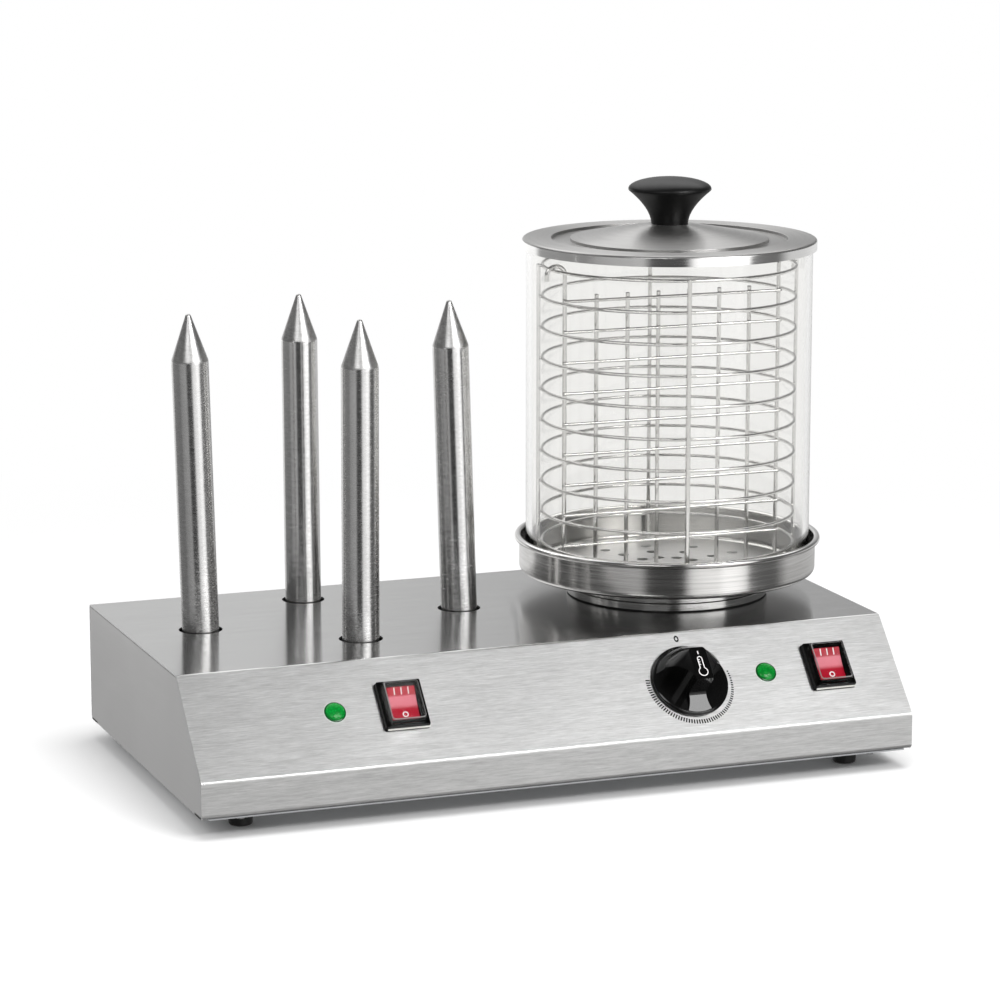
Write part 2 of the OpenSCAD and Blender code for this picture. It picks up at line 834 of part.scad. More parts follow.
// Perforated plate over the water well
module perforated_plate() {
    color("lightgray") translate(jar_at + [0, 0, plate_z]) difference() {
        cylinder(d = plate_d, h = plate_t);
        for (i = [0:plate_spokes - 1])
            for (j = [0:plate_rings - 1])
                rotate([0, 0, plate_turn + i * 360 / plate_spokes])
                    translate([plate_hole_r + j * plate_pitch, 0, -cut])
                        cylinder(d = plate_hole_d, h = plate_t + 2 * cut);
    }
}

// Glass cylinder
module glass_cylinder() {
    color("lightcyan", 0.4) translate(jar_at + [0, 0, glass_z]) difference() {
        cylinder(d = glass_d, h = glass_h, $fn = 128);
        translate([0, 0, -cut])
            cylinder(d = glass_d - 2 * glass_wall, h = glass_h + 2 * cut, $fn = 128);
    }
}

// Wire basket
module basket_rings() {
    color("silver") translate(jar_at) for (i = [0:ring_count - 1])
        translate([0, 0, ring_z + i * ring_pitch])
            rotate_extrude()
                translate([ring_r, 0])
                    circle(d = ring_wire);
}
module basket_uprights() {
    low = plate_top + seat;
    color("silver") translate(jar_at) for (i = [0:3])
        rotate([0, 0, basket_turn + i * 90])
            translate([post_r, 0, low])
                cylinder(d = post_wire, h = ring_top_z + ring_wire / 2 - low);
}

// Wire divider that hangs on the basket's top ring
module hooked_bar(side, low) {
    union() {
        translate([side * bar_span / 2, 0, low])
            cylinder(d = bar_wire, h = hook_z - low);
        translate([side * (bar_span / 2 + hook_r), 0, hook_z])
            rotate([90, 0, 0])
                rotate_extrude(angle = 180)
                    translate([hook_r, 0])
                        circle(d = bar_wire);
        translate([side * (bar_span / 2 + 2 * hook_r), 0, hook_z - hook_tail])
            cylinder(d = bar_wire, h = hook_tail);
    }
}
module divider_uprights() {
    low = plate_top + seat;
    color("silver") translate(jar_at + [0, -divider_y, 0]) {
        for (i = [1:bar_count - 2])
            translate([i * bar_pitch - bar_span / 2, 0, low])
                cylinder(d = bar_wire, h = cross_top_z + bar_stub - low);
        hooked_bar(-1, low);
        hooked_bar(1, low);
    }
}
module divider_crossbars() {
    length = bar_span + bar_wire;
    color("silver") translate(jar_at + [-length / 2, cross_y, 0]) for (i = [0:cross_count - 1])
        translate([0, 0, cross_z + i * cross_pitch])
            rotate([0, 90, 0])
                cylinder(d = cross_wire, h = length);
}

// Spun lid with a skirt, a groove and a raised middle
module lid_shell() {
    edge = [lid_r - lid_edge_r, lid_z - lid_edge_r];
    low = lid_z - lid_t;
    color("lightgray") translate(jar_at) difference() {
        rotate_extrude()
            polygon(concat(
                [[0, lid_seat_z], [0, lid_seat_z - lid_t], [lid_seat_r, lid_seat_z - lid_t]],
                [[cone_r - lid_t, low], [cone_r - lid_t, low - groove_deep]],
                [[groove_r + lid_t, low - groove_deep], [groove_r + lid_t, low]],
                backwards(arc(edge, lid_edge_r - lid_t, 0, 90)),
                [[lid_r - lid_t, lid_z - lid_skirt], [lid_r, lid_z - lid_skirt]],
                arc(edge, lid_edge_r, 0, 90),
                [[groove_r, lid_z], [groove_r, lid_z - groove_deep]],
                [[cone_r, lid_z - groove_deep], [cone_r, lid_z], [lid_seat_r, lid_seat_z]]
            ));
        translate([0, 0, lid_seat_z - lid_t - cut])
            cylinder(d = lid_screw_d + 2 * pass, h = lid_t + 2 * cut);
    }
}
module lid_knob() {
    lip_z = lid_knob_h - lid_knob_dome;
    flare_power = 1.8;
    flare = [for (i = [0:curve_n]) let (t = i / curve_n)
        [(lid_neck_d + (lid_knob_d - lid_neck_d) * pow(t, flare_power)) / 2, lip_z * t]];
    dome = [for (i = [1:curve_n]) let (a = i * 90 / curve_n)
        [lid_knob_d / 2 * cos(a), lip_z + lid_knob_dome * sin(a)]];
    color("black") translate(jar_at + [0, 0, lid_knob_z]) difference() {
        rotate_extrude()
            polygon(concat([[0, 0]], flare, dome));
        translate([0, 0, -cut])
            cylinder(d = lid_screw_d + 2 * fit, h = lid_screw_deep + cut);
    }
}
module lid_screw() {
    head_z = lid_seat_z - lid_t - washer_t - screw_head_h;
    color("silver") translate(jar_at + [0, 0, head_z]) {
        cylinder(d = head_ratio * lid_screw_d, h = screw_head_h);
        translate([0, 0, screw_head_h])
            cylinder(d = washer_ratio * lid_screw_d, h = washer_t);
        translate([0, 0, screw_head_h + washer_t])
            cylinder(d = lid_screw_d, h = lid_t + seat + lid_screw_deep - screw_end);
    }
}

// Rocker switches: bezel and housing, rocker on two trunnions, clear cap, terminals
module switch_body() {
    difference() {
        union() {
            rounded_block(bezel_w, bezel_l, bezel_h, bezel_corner);
            translate([-bezel_hole_w / 2, -bezel_hole_l / 2, -switch_deep])
                cube([bezel_hole_w, bezel_hole_l, switch_deep + bezel_h / 2]);
        }
        translate([-pocket_w / 2, -pocket_l / 2, -pocket_deep])
            cube([pocket_w, pocket_l, pocket_deep + bezel_h + cut]);
        translate([0, 0, rocker_pivot])
            rotate([0, 90, 0])
                cylinder(d = trunnion_d + 2 * run, h = trunnion_span + 2 * free, center = true);
    }
}
module left_switch_body() {
    color("black") on_slope(left_switch_x) switch_body();
}
module right_switch_body() {
    color("black") on_slope(right_switch_x) switch_body();
}
module rocker() {
    half = rocker_l / 2;
    translate([0, 0, rocker_pivot]) rotate([rocker_tilt, 0, 0]) {
        along_x(-rocker_w / 2, rocker_w / 2)
            polygon([
                [-half, -rocker_drop],
                [half, -rocker_drop],
                [half - free, rocker_rise],
                [0, rocker_rise - rocker_dip],
                [free - half, rocker_rise]
            ]);
        rotate([0, 90, 0])
            cylinder(d = trunnion_d, h = trunnion_span, center = true);
    }
}
module left_rocker() {
    color("red") on_slope(left_switch_x) rocker();
}
module right_rocker() {
    color("red") on_slope(right_switch_x) rocker();
}
cap_taper = 2;
module splash_cap() {
    top_in = cap_taper + cap_wall;
    translate([0, 0, bezel_h]) difference() {
        hull() {
            rounded_block(cap_w, cap_l, cap_h / 2, cap_r);
            rounded_block(cap_w - 2 * cap_taper, cap_l - 2 * cap_taper, cap_h, cap_r - cap_taper);
        }
        hull() {
            translate([0, 0, -cut])
                rounded_block(cap_w - 2 * cap_wall, cap_l - 2 * cap_wall, cap_h / 2 + cut, cap_r - cap_wall);
            rounded_block(cap_w - 2 * top_in, cap_l - 2 * top_in, cap_h - cap_wall, cap_r - top_in);
        }
    }
}
module left_splash_cap() {
    color("white", 0.3) on_slope(left_switch_x) splash_cap();
}
module right_splash_cap() {
    color("white", 0.3) on_slope(right_switch_x) splash_cap();
}
tab_t = 0.8;
tab_w = 6.3;
tab_l = 9;
module switch_terminals() {
    color("goldenrod") for (x = [left_switch_x, right_switch_x])
        on_slope(x)
            for (sx = [-1, 1])
                for (sy = [-1, 1])
                    translate([sx * bezel_hole_w / 4, sy * bezel_hole_l / 4, -switch_deep - tab_l / 2])
                        cube([tab_t, tab_w, tab_l], center = true);
}

// Pilot lights: domed lens on a barrel behind the panel
pilot_rim_h = 1;
module pilot_lens() {
    dome = [for (i = [1:curve_n]) let (a = i * 90 / curve_n)
        [pilot_d / 2 * cos(a), pilot_rim_h + (pilot_h - pilot_rim_h) * sin(a)]];
    rotate_extrude()
        polygon(concat([[0, 0], [pilot_d / 2, 0], [pilot_d / 2, pilot_rim_h]], dome));
}
module left_pilot_lens() {
    color("limegreen") on_slope(left_pilot_x) pilot_lens();
}
module right_pilot_lens() {
    color("limegreen") on_slope(right_pilot_x) pilot_lens();
}
pilot_barrel_l = 24;
module pilot_bodies() {
    color("dimgray") for (x = [left_pilot_x, right_pilot_x])
        on_slope(x)
            translate([0, 0, -pilot_barrel_l])
                cylinder(d = pilot_barrel_d, h = pilot_barrel_l);
}
pilot_nut_h = 3;
module pilot_nuts() {
    color("white") for (x = [left_pilot_x, right_pilot_x])
        on_slope(x)
            translate([0, 0, -sheet - pilot_nut_h])
                hex_nut(thin_nut_ratio * pilot_barrel_d, pilot_nut_h, pilot_barrel_d + 2 * fit);
}

// Thermostat: body with a threaded neck, nut, spindle, knob, capillary and bulb
module thermostat_body() {
    color("gainsboro") on_slope(knob_x, knob_drop) difference() {
        union() {
            translate([-stat_w / 2, -stat_w / 2, -sheet - stat_deep])
                cube([stat_w, stat_w, stat_deep]);
            translate([0, 0, -sheet - cut])
                cylinder(d = stat_neck_d, h = sheet + cut + stat_neck_h);
        }
        translate([0, 0, -spindle_in - free])
            cylinder(d = spindle_d + 2 * run, h = spindle_in + free + stat_neck_h + cut);
    }
}
module thermostat_nut() {
    color("goldenrod") on_slope(knob_x, knob_drop)
        hex_nut(thin_nut_ratio * stat_neck_d, stat_nut_h, stat_neck_d + 2 * fit);
}
module thermostat_spindle() {
    color("silver") on_slope(knob_x, knob_drop)
        translate([0, 0, -spindle_in])
            cylinder(d = spindle_d, h = spindle_in + spindle_out);
}
module thermostat_knob() {
    knob_r = knob_d / 2;
    shoulder = knob_r - knob_step;
    crown_z = knob_gap + knob_flange_h;
    knob_top = knob_gap + knob_h;
    half_w = knob_bar_w / 2;
    half_l = knob_bar_l / 2;
    // The grip seen along its length, and seen from its side
    roof = [
        [-shoulder, knob_gap], [shoulder, knob_gap], [shoulder, crown_z + knob_edge],
        [half_w, knob_top], [-half_w, knob_top], [-shoulder, crown_z + knob_edge]
    ];
    tail = arc([-half_l - knob_tail_r, crown_z + knob_tail_r], knob_tail_r, -90, 90);
    ridge = concat(
        [[-shoulder, knob_gap], [-shoulder, crown_z]],
        tail,
        [[-half_l, knob_top], [half_l, knob_top], [shoulder, crown_z + knob_edge], [shoulder, knob_gap]]
    );
    color("black") on_slope(knob_x, knob_drop) difference() {
        union() {
            translate([0, 0, knob_gap])
                cylinder(r = knob_r, h = knob_flange_h);
            difference() {
                intersection() {
                    cylinder(r = shoulder, h = knob_top + cut);
                    rotate([90, 0, 0])
                        linear_extrude(height = 2 * knob_d, center = true)
                            polygon(roof);
                    rotate([90, 0, 90])
                        linear_extrude(height = 2 * knob_d, center = true)
                            polygon(ridge);
                }
                for (s = [-1, 1])
                    translate([s * (half_w + knob_scoop_r), -half_l - knob_scoop_past, 0])
                        cylinder(r = knob_scoop_r, h = knob_top + cut);
            }
        }
        translate([0, 0, -cut])
            cylinder(d = thin_nut_ratio * stat_neck_d / cos(30) + 2 * free, h = cut + stat_nut_h + free);
        cylinder(d = stat_neck_d + 2 * free, h = stat_neck_h + free);
        cylinder(d = spindle_d + 2 * fit, h = spindle_out + fit);
    }
}

// Capillary from the thermostat to the bulb under the water well, a tube swept along a smooth run
capillary_d = 2;
bulb_d = 6;
bulb_l = 30;
bulb_bend = 12;
stat_bend = 30;
tube_sides = 8;
tube_rings = 24;
stat_back = [
    knob_x + stat_w / 4,
    y_front + (control_u - knob_drop) * cos(slope_a) + (sheet + stat_deep) * sin(slope_a),
    stand_h + front_h + (control_u - knob_drop) * sin(slope_a) - (sheet + stat_deep) * cos(slope_a)
];
bulb_off = (ring_heater_over / 2 + ring_heater_d / 2 + well_r) / 2;
bulb_at = [jar_at[0] - bulb_l / 2, jar_at[1] - bulb_off, well_z - pan_t - fit - bulb_d / 2];
stat_lead = stat_back + stat_bend * [0, sin(slope_a), -cos(slope_a)];
bulb_end = bulb_at - [fit, 0, 0];
bulb_lead = bulb_end - [bulb_bend, 0, 0];
function bezier(a, b, c, d, t) =
    pow(1 - t, 3) * a + 3 * pow(1 - t, 2) * t * b + 3 * (1 - t) * t * t * c + pow(t, 3) * d;
function run_point(i) = bezier(stat_back, stat_lead, bulb_lead, bulb_end, i / tube_rings);
function run_dir(i) =
    let (d = run_point(min(i + 0.5, tube_rings)) - run_point(max(i - 0.5, 0)))
    d / norm(d);
function ring_points(i) =
    let (
        d = i == 0 ? [0, sin(slope_a), -cos(slope_a)] : i == tube_rings ? [1, 0, 0] : run_dir(i),
        side = cross([0, 1, 0.3], d),
        u = side / norm(side),
        v = cross(d, u)
    )
    [for (k = [0:tube_sides - 1])
        run_point(i) + capillary_d / 2 * (cos(k * 360 / tube_sides) * u + sin(k * 360 / tube_sides) * v)];
module capillary() {
    points = [for (i = [0:tube_rings]) for (q = ring_points(i)) q];
    faces = concat(
        [[for (k = [0:tube_sides - 1]) k]],
        [for (i = [0:tube_rings - 1]) for (k = [0:tube_sides - 1])
            let (a = i * tube_sides, b = a + tube_sides, n = (k + 1) % tube_sides)
            each [[a + n, a + k, b + k], [a + n, b + k, b + n]]],
        [[for (k = [tube_sides - 1:-1:0]) tube_rings * tube_sides + k]]
    );
    color("peru") polyhedron(points, faces);
}
module thermostat_bulb() {
    color("peru") translate(bulb_at)
        rotate([0, 90, 0])
            cylinder(d = bulb_d, h = bulb_l);
}

// Cable gland in the back, with its nut
gland_inside = 12;
gland_taper = 4;
gland_nut_h = 5;
module cable_gland() {
    color("black") at_gland() difference() {
        union() {
            cylinder(d = gland_d, h = gland_out / 2);
            translate([0, 0, gland_out / 2])
                cylinder(d1 = gland_d, d2 = gland_d - gland_taper, h = gland_out / 2);
            translate([0, 0, -gland_inside])
                cylinder(d = gland_thread_d, h = gland_inside + cut);
        }
        translate([0, 0, -gland_inside - cut])
            cylinder(d = cable_d, h = gland_inside + gland_out + 2 * cut);
    }
}
module gland_nut() {
    color("black") at_gland()
        translate([0, 0, -sheet - gland_nut_h])
            hex_nut(gland_d, gland_nut_h, gland_thread_d + 2 * fit);
}

// Terminal block and earth stud on the base plate
block_w = 62;
block_d = 22;
block_h = 17;
block_from_gland = 55;
block_from_back = 46;
block_at = [gland_x + block_from_gland, y_back - block_from_back, stand_h];
block_poles = 5;
block_pitch = 11;
block_row = 11;
block_hole_d = 5;
block_hole_deep = 8;
block_screw_h = 5;
module at_poles() {
    for (i = [0:block_poles - 1])
        for (s = [-1, 1])
            translate([
                (i - (block_poles - 1) / 2) * block_pitch,
                s * block_row / 2,
                block_h - block_hole_deep
            ])
                children();
}
module terminal_block() {
    color("ivory") translate(block_at) difference() {
        translate([-block_w / 2, -block_d / 2, 0])
            cube([block_w, block_d, block_h]);
        at_poles()
            cylinder(d = block_hole_d, h = block_hole_deep + cut);
    }
}
module terminal_screws() {
    color("silver") translate(block_at)
        at_poles()
            cylinder(d = block_hole_d - 2 * fit, h = block_screw_h);
}
earth_from_gland = 10;
earth_from_back = 60;
earth_at = [gland_x + earth_from_gland, y_back - earth_from_back, stand_h];
earth_d = 5;
earth_h = 18;
earth_nut_h = 4;
earth_nut_gap = 3;
module earth_stud() {
    color("goldenrod") translate(earth_at)
        cylinder(d = earth_d, h = earth_h);
}
module earth_nuts() {
    color("silver") translate(earth_at)
        for (z = [0, earth_nut_h + earth_nut_gap])
            translate([0, 0, z])
                hex_nut(nut_ratio * earth_d, earth_nut_h, earth_d + 2 * fit);
}

housing_shell();
left_side_panel();
right_side_panel();
base_plate();
base_screws();
rubber_feet();
foot_screws();
foot_nuts();
spike_left();
spike_rear();
spike_front();
spike_right();
spike_plugs();
spike_heaters();
spike_nuts();
spike_bracket();
bracket_pillars();
boiler_pan();
water_well();
boiler_collar();
collar_gasket();
ring_heater();
pan_stud();
pan_strap();
pan_nut();
perforated_plate();
glass_cylinder();
basket_rings();
basket_uprights();
divider_uprights();
divider_crossbars();
lid_shell();
lid_knob();
lid_screw();
left_switch_body();
right_switch_body();
left_rocker();
right_rocker();
left_splash_cap();
right_splash_cap();
switch_terminals();
left_pilot_lens();
right_pilot_lens();
pilot_bodies();
pilot_nuts();
thermostat_body();
thermostat_nut();
thermostat_spindle();
thermostat_knob();
capillary();
thermostat_bulb();
cable_gland();
gland_nut();
terminal_block();
terminal_screws();
earth_stud();
earth_nuts();
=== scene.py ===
import math

import bmesh
import bpy
from mathutils import Matrix, Vector


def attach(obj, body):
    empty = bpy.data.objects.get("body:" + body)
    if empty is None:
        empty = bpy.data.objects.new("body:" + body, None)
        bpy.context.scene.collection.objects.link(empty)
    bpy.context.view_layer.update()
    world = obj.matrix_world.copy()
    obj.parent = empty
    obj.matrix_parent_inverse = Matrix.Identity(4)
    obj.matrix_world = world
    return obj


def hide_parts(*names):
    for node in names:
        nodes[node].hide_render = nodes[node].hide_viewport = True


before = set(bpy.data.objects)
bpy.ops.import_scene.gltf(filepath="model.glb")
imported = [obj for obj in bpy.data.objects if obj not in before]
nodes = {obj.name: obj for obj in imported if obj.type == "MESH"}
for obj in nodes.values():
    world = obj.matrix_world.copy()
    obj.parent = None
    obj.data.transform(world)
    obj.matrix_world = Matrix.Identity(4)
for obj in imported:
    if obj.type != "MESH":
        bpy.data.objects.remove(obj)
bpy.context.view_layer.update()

# Photo camera: it stands front left of the machine and a little above it,
# with a long lens, so that the uprights of the picture stay nearly parallel.
camera_at = (-0.879942, -2.347145, 0.677564)
camera_facing = (0.346035, 0.917534, -0.195934)


def stand(name, data, at, facing):
    """Set up a camera or a lamp at a place, turned to face a direction."""
    thing = bpy.data.objects.new(name, data)
    bpy.context.collection.objects.link(thing)
    thing.location = at
    thing.rotation_mode = "QUATERNION"
    thing.rotation_quaternion = Vector(facing).to_track_quat("-Z", "Y")
    return thing


camera = stand("photo_camera", bpy.data.cameras.new("photo_camera"), camera_at, camera_facing)
camera.data.sensor_width, camera.data.lens = 36, 134.9753
camera.data.clip_start, camera.data.clip_end = 0.05, 60
bpy.context.scene.camera = camera
bpy.context.scene.view_settings.view_transform = "Standard"

# Folded housing: one sheet of stainless steel, brushed along its width and folded to the front strip,
# sloped control panel, top and back, with lips turned in under the base. The top is polished finer
# than the slope, and the front strip is a darker copy of the steel, as painted shade.
mm = 0.001
fold_line = ((-126.5, 14), (-142.5, 14), (-142.5, 38), (-88.5, 96), (132.5, 96), (132.5, 14), (116.5, 14))
fold_radius, fold_steps, sheet, half_width, top_z = 3.0, 8, 1.2, 250, 96
up_slope, out_slope = Vector((0, 0.681419, 0.731894)), Vector((0, -0.731894, 0.681419))
slope_middle = Vector((0, -113.88, 68.74))
spike_sites = ((-199.2, 30.6), (-106.4, 93.8), (-106.4, -32.6), (-13.6, 30.6))
jar_axis = Vector((142.5, 30.8, 0)) * mm
switch_xs, switch_w, switch_l = {"left": -106.0, "right": 199.4}, 27, 31
pilot_xs = {"left": -151.6, "right": 153.6}
knob_x, knob_drop = 97, 2
gland_at = Vector((-230, 132.5, 53)) * mm
spike_hole_r, well_hole_r, barrel_hole_r, gland_hole_r = 14.8, 66.2, 5.2, 6.2
squarely, edgewise = 0.9, 0.5


def feed(node, values):
    """Set a node's inputs: a node or a socket is linked, anything else is the input's own value."""
    for key, value in values.items():
        if isinstance(value, bpy.types.Node):
            value = value.outputs[0]
        if isinstance(value, bpy.types.NodeSocket):
            node.id_data.links.new(value, node.inputs[key])
        else:
            node.inputs[key].default_value = value


def add(tree, kind, values=None, **settings):
    """Put one shader node in a tree, with its settings and its inputs."""
    node = tree.nodes.new("ShaderNode" + kind)
    for key, value in settings.items():
        setattr(node, key, value)
    feed(node, values or {})
    return node


def spread(tree, source, low, high, least=0.0, most=1.0, eased=False):
    """Map a value that runs from low to high onto the run from least to most."""
    return add(tree, "MapRange", {0: source, 1: low, 2: high, 3: least, 4: most},
               interpolation_type="SMOOTHSTEP" if eased else "LINEAR")


def effect(name, inputs, outputs):
    """Start a shader node group with named sockets."""
    tree = bpy.data.node_groups.new(name, "ShaderNodeTree")
    for way, sockets in (("INPUT", inputs), ("OUTPUT", outputs)):
        for socket, kind in sockets.items():
            tree.interface.new_socket(socket, in_out=way, socket_type="NodeSocket" + kind)
    return tree, tree.nodes.new("NodeGroupInput"), tree.nodes.new("NodeGroupOutput")


# Straight grain of a brushing belt: long thin streaks, stretched along the belt's run,
# with a fainter and broader set among them.
straight_grain, given, made = effect(
    "straight_grain", {"Coordinates": "Vector", "Stretch": "Vector"}, {"Tone": "Float", "Height": "Float"})
pull = add(straight_grain, "VectorMath", {0: given.outputs["Coordinates"], 1: given.outputs["Stretch"]},
           operation="MULTIPLY")
fine = add(straight_grain, "TexNoise", {"Vector": pull, "Scale": 1.0, "Detail": 5.0, "Roughness": 0.7})
broad_pull = add(straight_grain, "VectorMath", {0: pull, 1: (0.31, 0.17, 0.17)}, operation="MULTIPLY")
broad = add(straight_grain, "TexNoise", {"Vector": broad_pull, "Scale": 1.0, "Detail": 2.0, "Roughness": 0.5})
streaks = add(straight_grain, "Mix", {0: 0.2, 2: fine, 3: broad}, data_type="FLOAT")
feed(made, {"Tone": spread(straight_grain, streaks, 0.33, 0.67), "Height": fine})

# Turning lines of a lathe or spinning roller: rings round an axis,
# broken up a little on the way round.
turned_grain, given, made = effect(
    "turned_grain", {"Coordinates": "Vector", "Fineness": "Float", "Breaks": "Float"},
    {"Tone": "Float", "Height": "Float"})
split = add(turned_grain, "SeparateXYZ", {0: given.outputs["Coordinates"]})
level_arm = add(turned_grain, "CombineXYZ", {"X": split.outputs["X"], "Y": split.outputs["Y"]})
reach = add(turned_grain, "VectorMath", {0: level_arm}, operation="LENGTH").outputs["Value"]
bearing = add(turned_grain, "Math", {0: split.outputs["Y"], 1: split.outputs["X"]}, operation="ARCTAN2")
ring_place = add(turned_grain, "CombineXYZ", {
    key: add(turned_grain, "Math", {0: length, 1: given.outputs[amount]}, operation="MULTIPLY")
    for key, length, amount in (("X", reach, "Fineness"), ("Y", bearing, "Breaks"),
                                ("Z", split.outputs["Z"], "Fineness"))})
rings = add(turned_grain, "TexNoise", {"Vector": ring_place, "Scale": 1.0, "Detail": 4.0, "Roughness": 0.65})
feed(made, {"Tone": spread(turned_grain, rings, 0.33, 0.67), "Height": rings})

# Handling marks: faint cloudy patches where hands and cloths have been;
# they dull a surface a little.
handling, given, made = effect("handling", {"Coordinates": "Vector", "Scale": "Float"}, {"Marks": "Float"})
patches = add(handling, "TexNoise", {
    "Vector": given.outputs["Coordinates"], "Scale": given.outputs["Scale"],
    "Detail": 3.0, "Roughness": 0.55, "Distortion": 0.6})
feed(made, {"Marks": spread(handling, patches, 0.35, 0.7)})


def new_finish(name, values):
    """Start a material with the plain values of its shader."""
    finish = bpy.data.materials.new(name)
    finish.use_nodes = True
    shader = finish.node_tree.nodes["Principled BSDF"]
    feed(shader, values)
    return finish, finish.node_tree, shader


def steel(name, dark, light, smooth, rough, relief, grain, centre=(0, 0, 0), along=0.0, marks=14.0,
          cloud=0.06, **pattern):
    """A bare metal whose grain drives its tone, roughness and relief, with handling marks on top."""
    finish, tree, shader = new_finish(
        name, {"Metallic": 1.0, "Anisotropic": along, "Anisotropic Rotation": 0.25})
    place = add(tree, "TexCoord").outputs["Object"]
    centred = add(tree, "Mapping", {0: place, "Location": [-c for c in centre]})
    lines = add(tree, "Group", {"Coordinates": centred, **pattern}, node_tree=grain)
    tone = lines.outputs["Tone"]
    touched = add(tree, "Group", {"Coordinates": place, "Scale": marks}, node_tree=handling)
    colour = add(tree, "Mix", {0: tone, 6: (*dark, 1), 7: (*light, 1)}, data_type="RGBA")
    cloudy = add(tree, "Math", {0: touched, 1: cloud, 2: spread(tree, tone, 0, 1, smooth, rough)},
                 operation="MULTIPLY_ADD")
    bump = add(tree, "Bump", {"Height": lines.outputs["Height"], "Strength": relief, "Distance": 0.0002})
    feed(shader, {"Base Color": colour.outputs[2], "Roughness": cloudy, "Normal": bump})
    if along:
        feed(shader, {"Tangent": add(tree, "Tangent", direction_type="UV_MAP", uv_map="grain")})
    return finish


def fit_piece(bm, name, finish, body, slot, *stands_for, crease=32, flat_faces=True):
    """Make a finished bmesh a piece of the machine, on its body, in place of its CAD nodes."""
    mesh = bpy.data.meshes.new(name)
    bm.to_mesh(mesh)
    bm.free()
    mesh.polygons.foreach_set("use_smooth", [True] * len(mesh.polygons))
    mesh.set_sharp_from_angle(angle=math.radians(crease))
    mesh.materials.append(finish)
    piece = bpy.data.objects.new(name, mesh)
    bpy.context.collection.objects.link(piece)
    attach(piece, body)
    if stands_for:
        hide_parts(*stands_for)
    if flat_faces:
        flat = piece.modifiers.new("flat_faces", "WEIGHTED_NORMAL")
        flat.mode, flat.weight, flat.keep_sharp = "FACE_AREA", 90, True
    return piece


def refinish(piece, finish, chosen):
    """Give those faces of a piece that pass a test another finish."""
    piece.data.materials.append(finish)
    for face in piece.data.polygons:
        if chosen(face):
            face.material_index = len(piece.data.materials) - 1


def round_off(bm, parts, setback, segments, affect="EDGES"):
    """Round edges or corners off by a setback in millimetres."""
    bmesh.ops.bevel(bm, geom=parts, offset=setback * mm, offset_type="OFFSET", affect=affect,
                    segments=segments, profile=0.5, material=-1)


def round_corner(bm, corner, radius, segments):
    """Round a two-edged corner of an outline, like a bend of that radius in millimetres."""
    round_off(bm, [corner], radius * math.tan(corner.calc_edge_angle() / 2), segments, "VERTICES")


def face_out(bm):
    """Turn all faces outwards."""
    bmesh.ops.recalc_face_normals(bm, faces=bm.faces[:])


def fresh(result, kind=bmesh.types.BMVert, part="geom"):
    """The new points, or the new faces, that an operator gives."""
    return [element for element in result[part] if isinstance(element, kind)]


def edges_of(points):
    """The edges at some points, each once and in a fixed order."""
    return list(dict.fromkeys(edge for point in points for edge in point.link_edges))


def shift(x, y, z):
    """A move in millimetres."""
    return Matrix.Translation(Vector((x, y, z)) * mm)


def on_slope(x, along=0.0, lift=0.0):
    """The place and turn of a control on the sloped panel, in metres: x right, y up the slope, z out."""
    origin = slope_middle + Vector((x, 0, 0)) + up_slope * along + out_slope * lift
    turn = Matrix((Vector((1, 0, 0)), up_slope, out_slope)).transposed()
    return Matrix.Translation(origin * mm) @ turn.to_4x4()


def pierce(bm, wall, round_holes, square_holes=()):
    """Open round holes (place, radius) and square ones (place, width, length) in a flat wall."""
    normal, rims = wall.normal.copy(), list(wall.edges)
    bmesh.ops.delete(bm, geom=[wall], context="FACES_ONLY")
    for place, radius in round_holes:
        rims += edges_of(bmesh.ops.create_circle(bm, radius=radius * mm, segments=72, matrix=place)["verts"])
    for place, width, length in square_holes:
        size = Matrix.Diagonal((width * mm, length * mm, 1, 1))
        hole = bmesh.ops.create_grid(bm, x_segments=1, y_segments=1, size=0.5, matrix=place @ size)["verts"]
        rims += edges_of(hole)
        bmesh.ops.delete(bm, geom=list(hole[0].link_faces), context="FACES_ONLY")
    bmesh.ops.triangle_fill(bm, use_beauty=True, edges=rims, normal=normal)


bm = bmesh.new()
corners = [bm.verts.new((-half_width * mm, y * mm, z * mm)) for y, z in fold_line]
for pair in zip(corners, corners[1:]):
    bm.edges.new(pair)
for corner in corners[1:-1]:
    round_corner(bm, corner, fold_radius, fold_steps)
pulled = bmesh.ops.extrude_edge_only(bm, edges=bm.edges[:])
bmesh.ops.translate(bm, verts=fresh(pulled), vec=(2 * half_width * mm, 0, 0))
face_out(bm)
top = max(bm.faces, key=lambda wall: wall.calc_center_median().z)
slope = max(bm.faces, key=lambda wall: wall.normal.dot(out_slope))
back = max(bm.faces, key=lambda wall: wall.calc_center_median().y)
through_back = Matrix.Translation(gland_at) @ Matrix.Rotation(-math.pi / 2, 4, "X")
pierce(bm, top, [(shift(x, y, top_z), spike_hole_r) for x, y in spike_sites]
       + [(Matrix.Translation(jar_axis) @ shift(0, 0, top_z), well_hole_r)])
pierce(bm, slope, [(on_slope(x), barrel_hole_r) for x in pilot_xs.values()]
       + [(on_slope(knob_x, along=-knob_drop), barrel_hole_r)],
       [(on_slope(x), switch_w, switch_l) for x in switch_xs.values()])
pierce(bm, back, [(through_back, gland_hole_r)])
face_out(bm)
bmesh.ops.solidify(bm, geom=bm.faces[:], thickness=sheet * mm)
grain_map = bm.loops.layers.uv.new("grain")
bm.normal_update()
for face in bm.faces:
    cut_end = abs(face.normal.x) > edgewise
    for loop in face.loops:
        x, y, z = loop.vert.co
        loop[grain_map].uv = (y, z) if cut_end else (x, y + z)
housing_steel = steel(
    "brushed_housing_steel", (0.46, 0.46, 0.457), (0.70, 0.70, 0.697), 0.28, 0.30, 0.015, straight_grain,
    along=0.9, cloud=0.015, Stretch=(85.0, 1400.0, 1400.0))
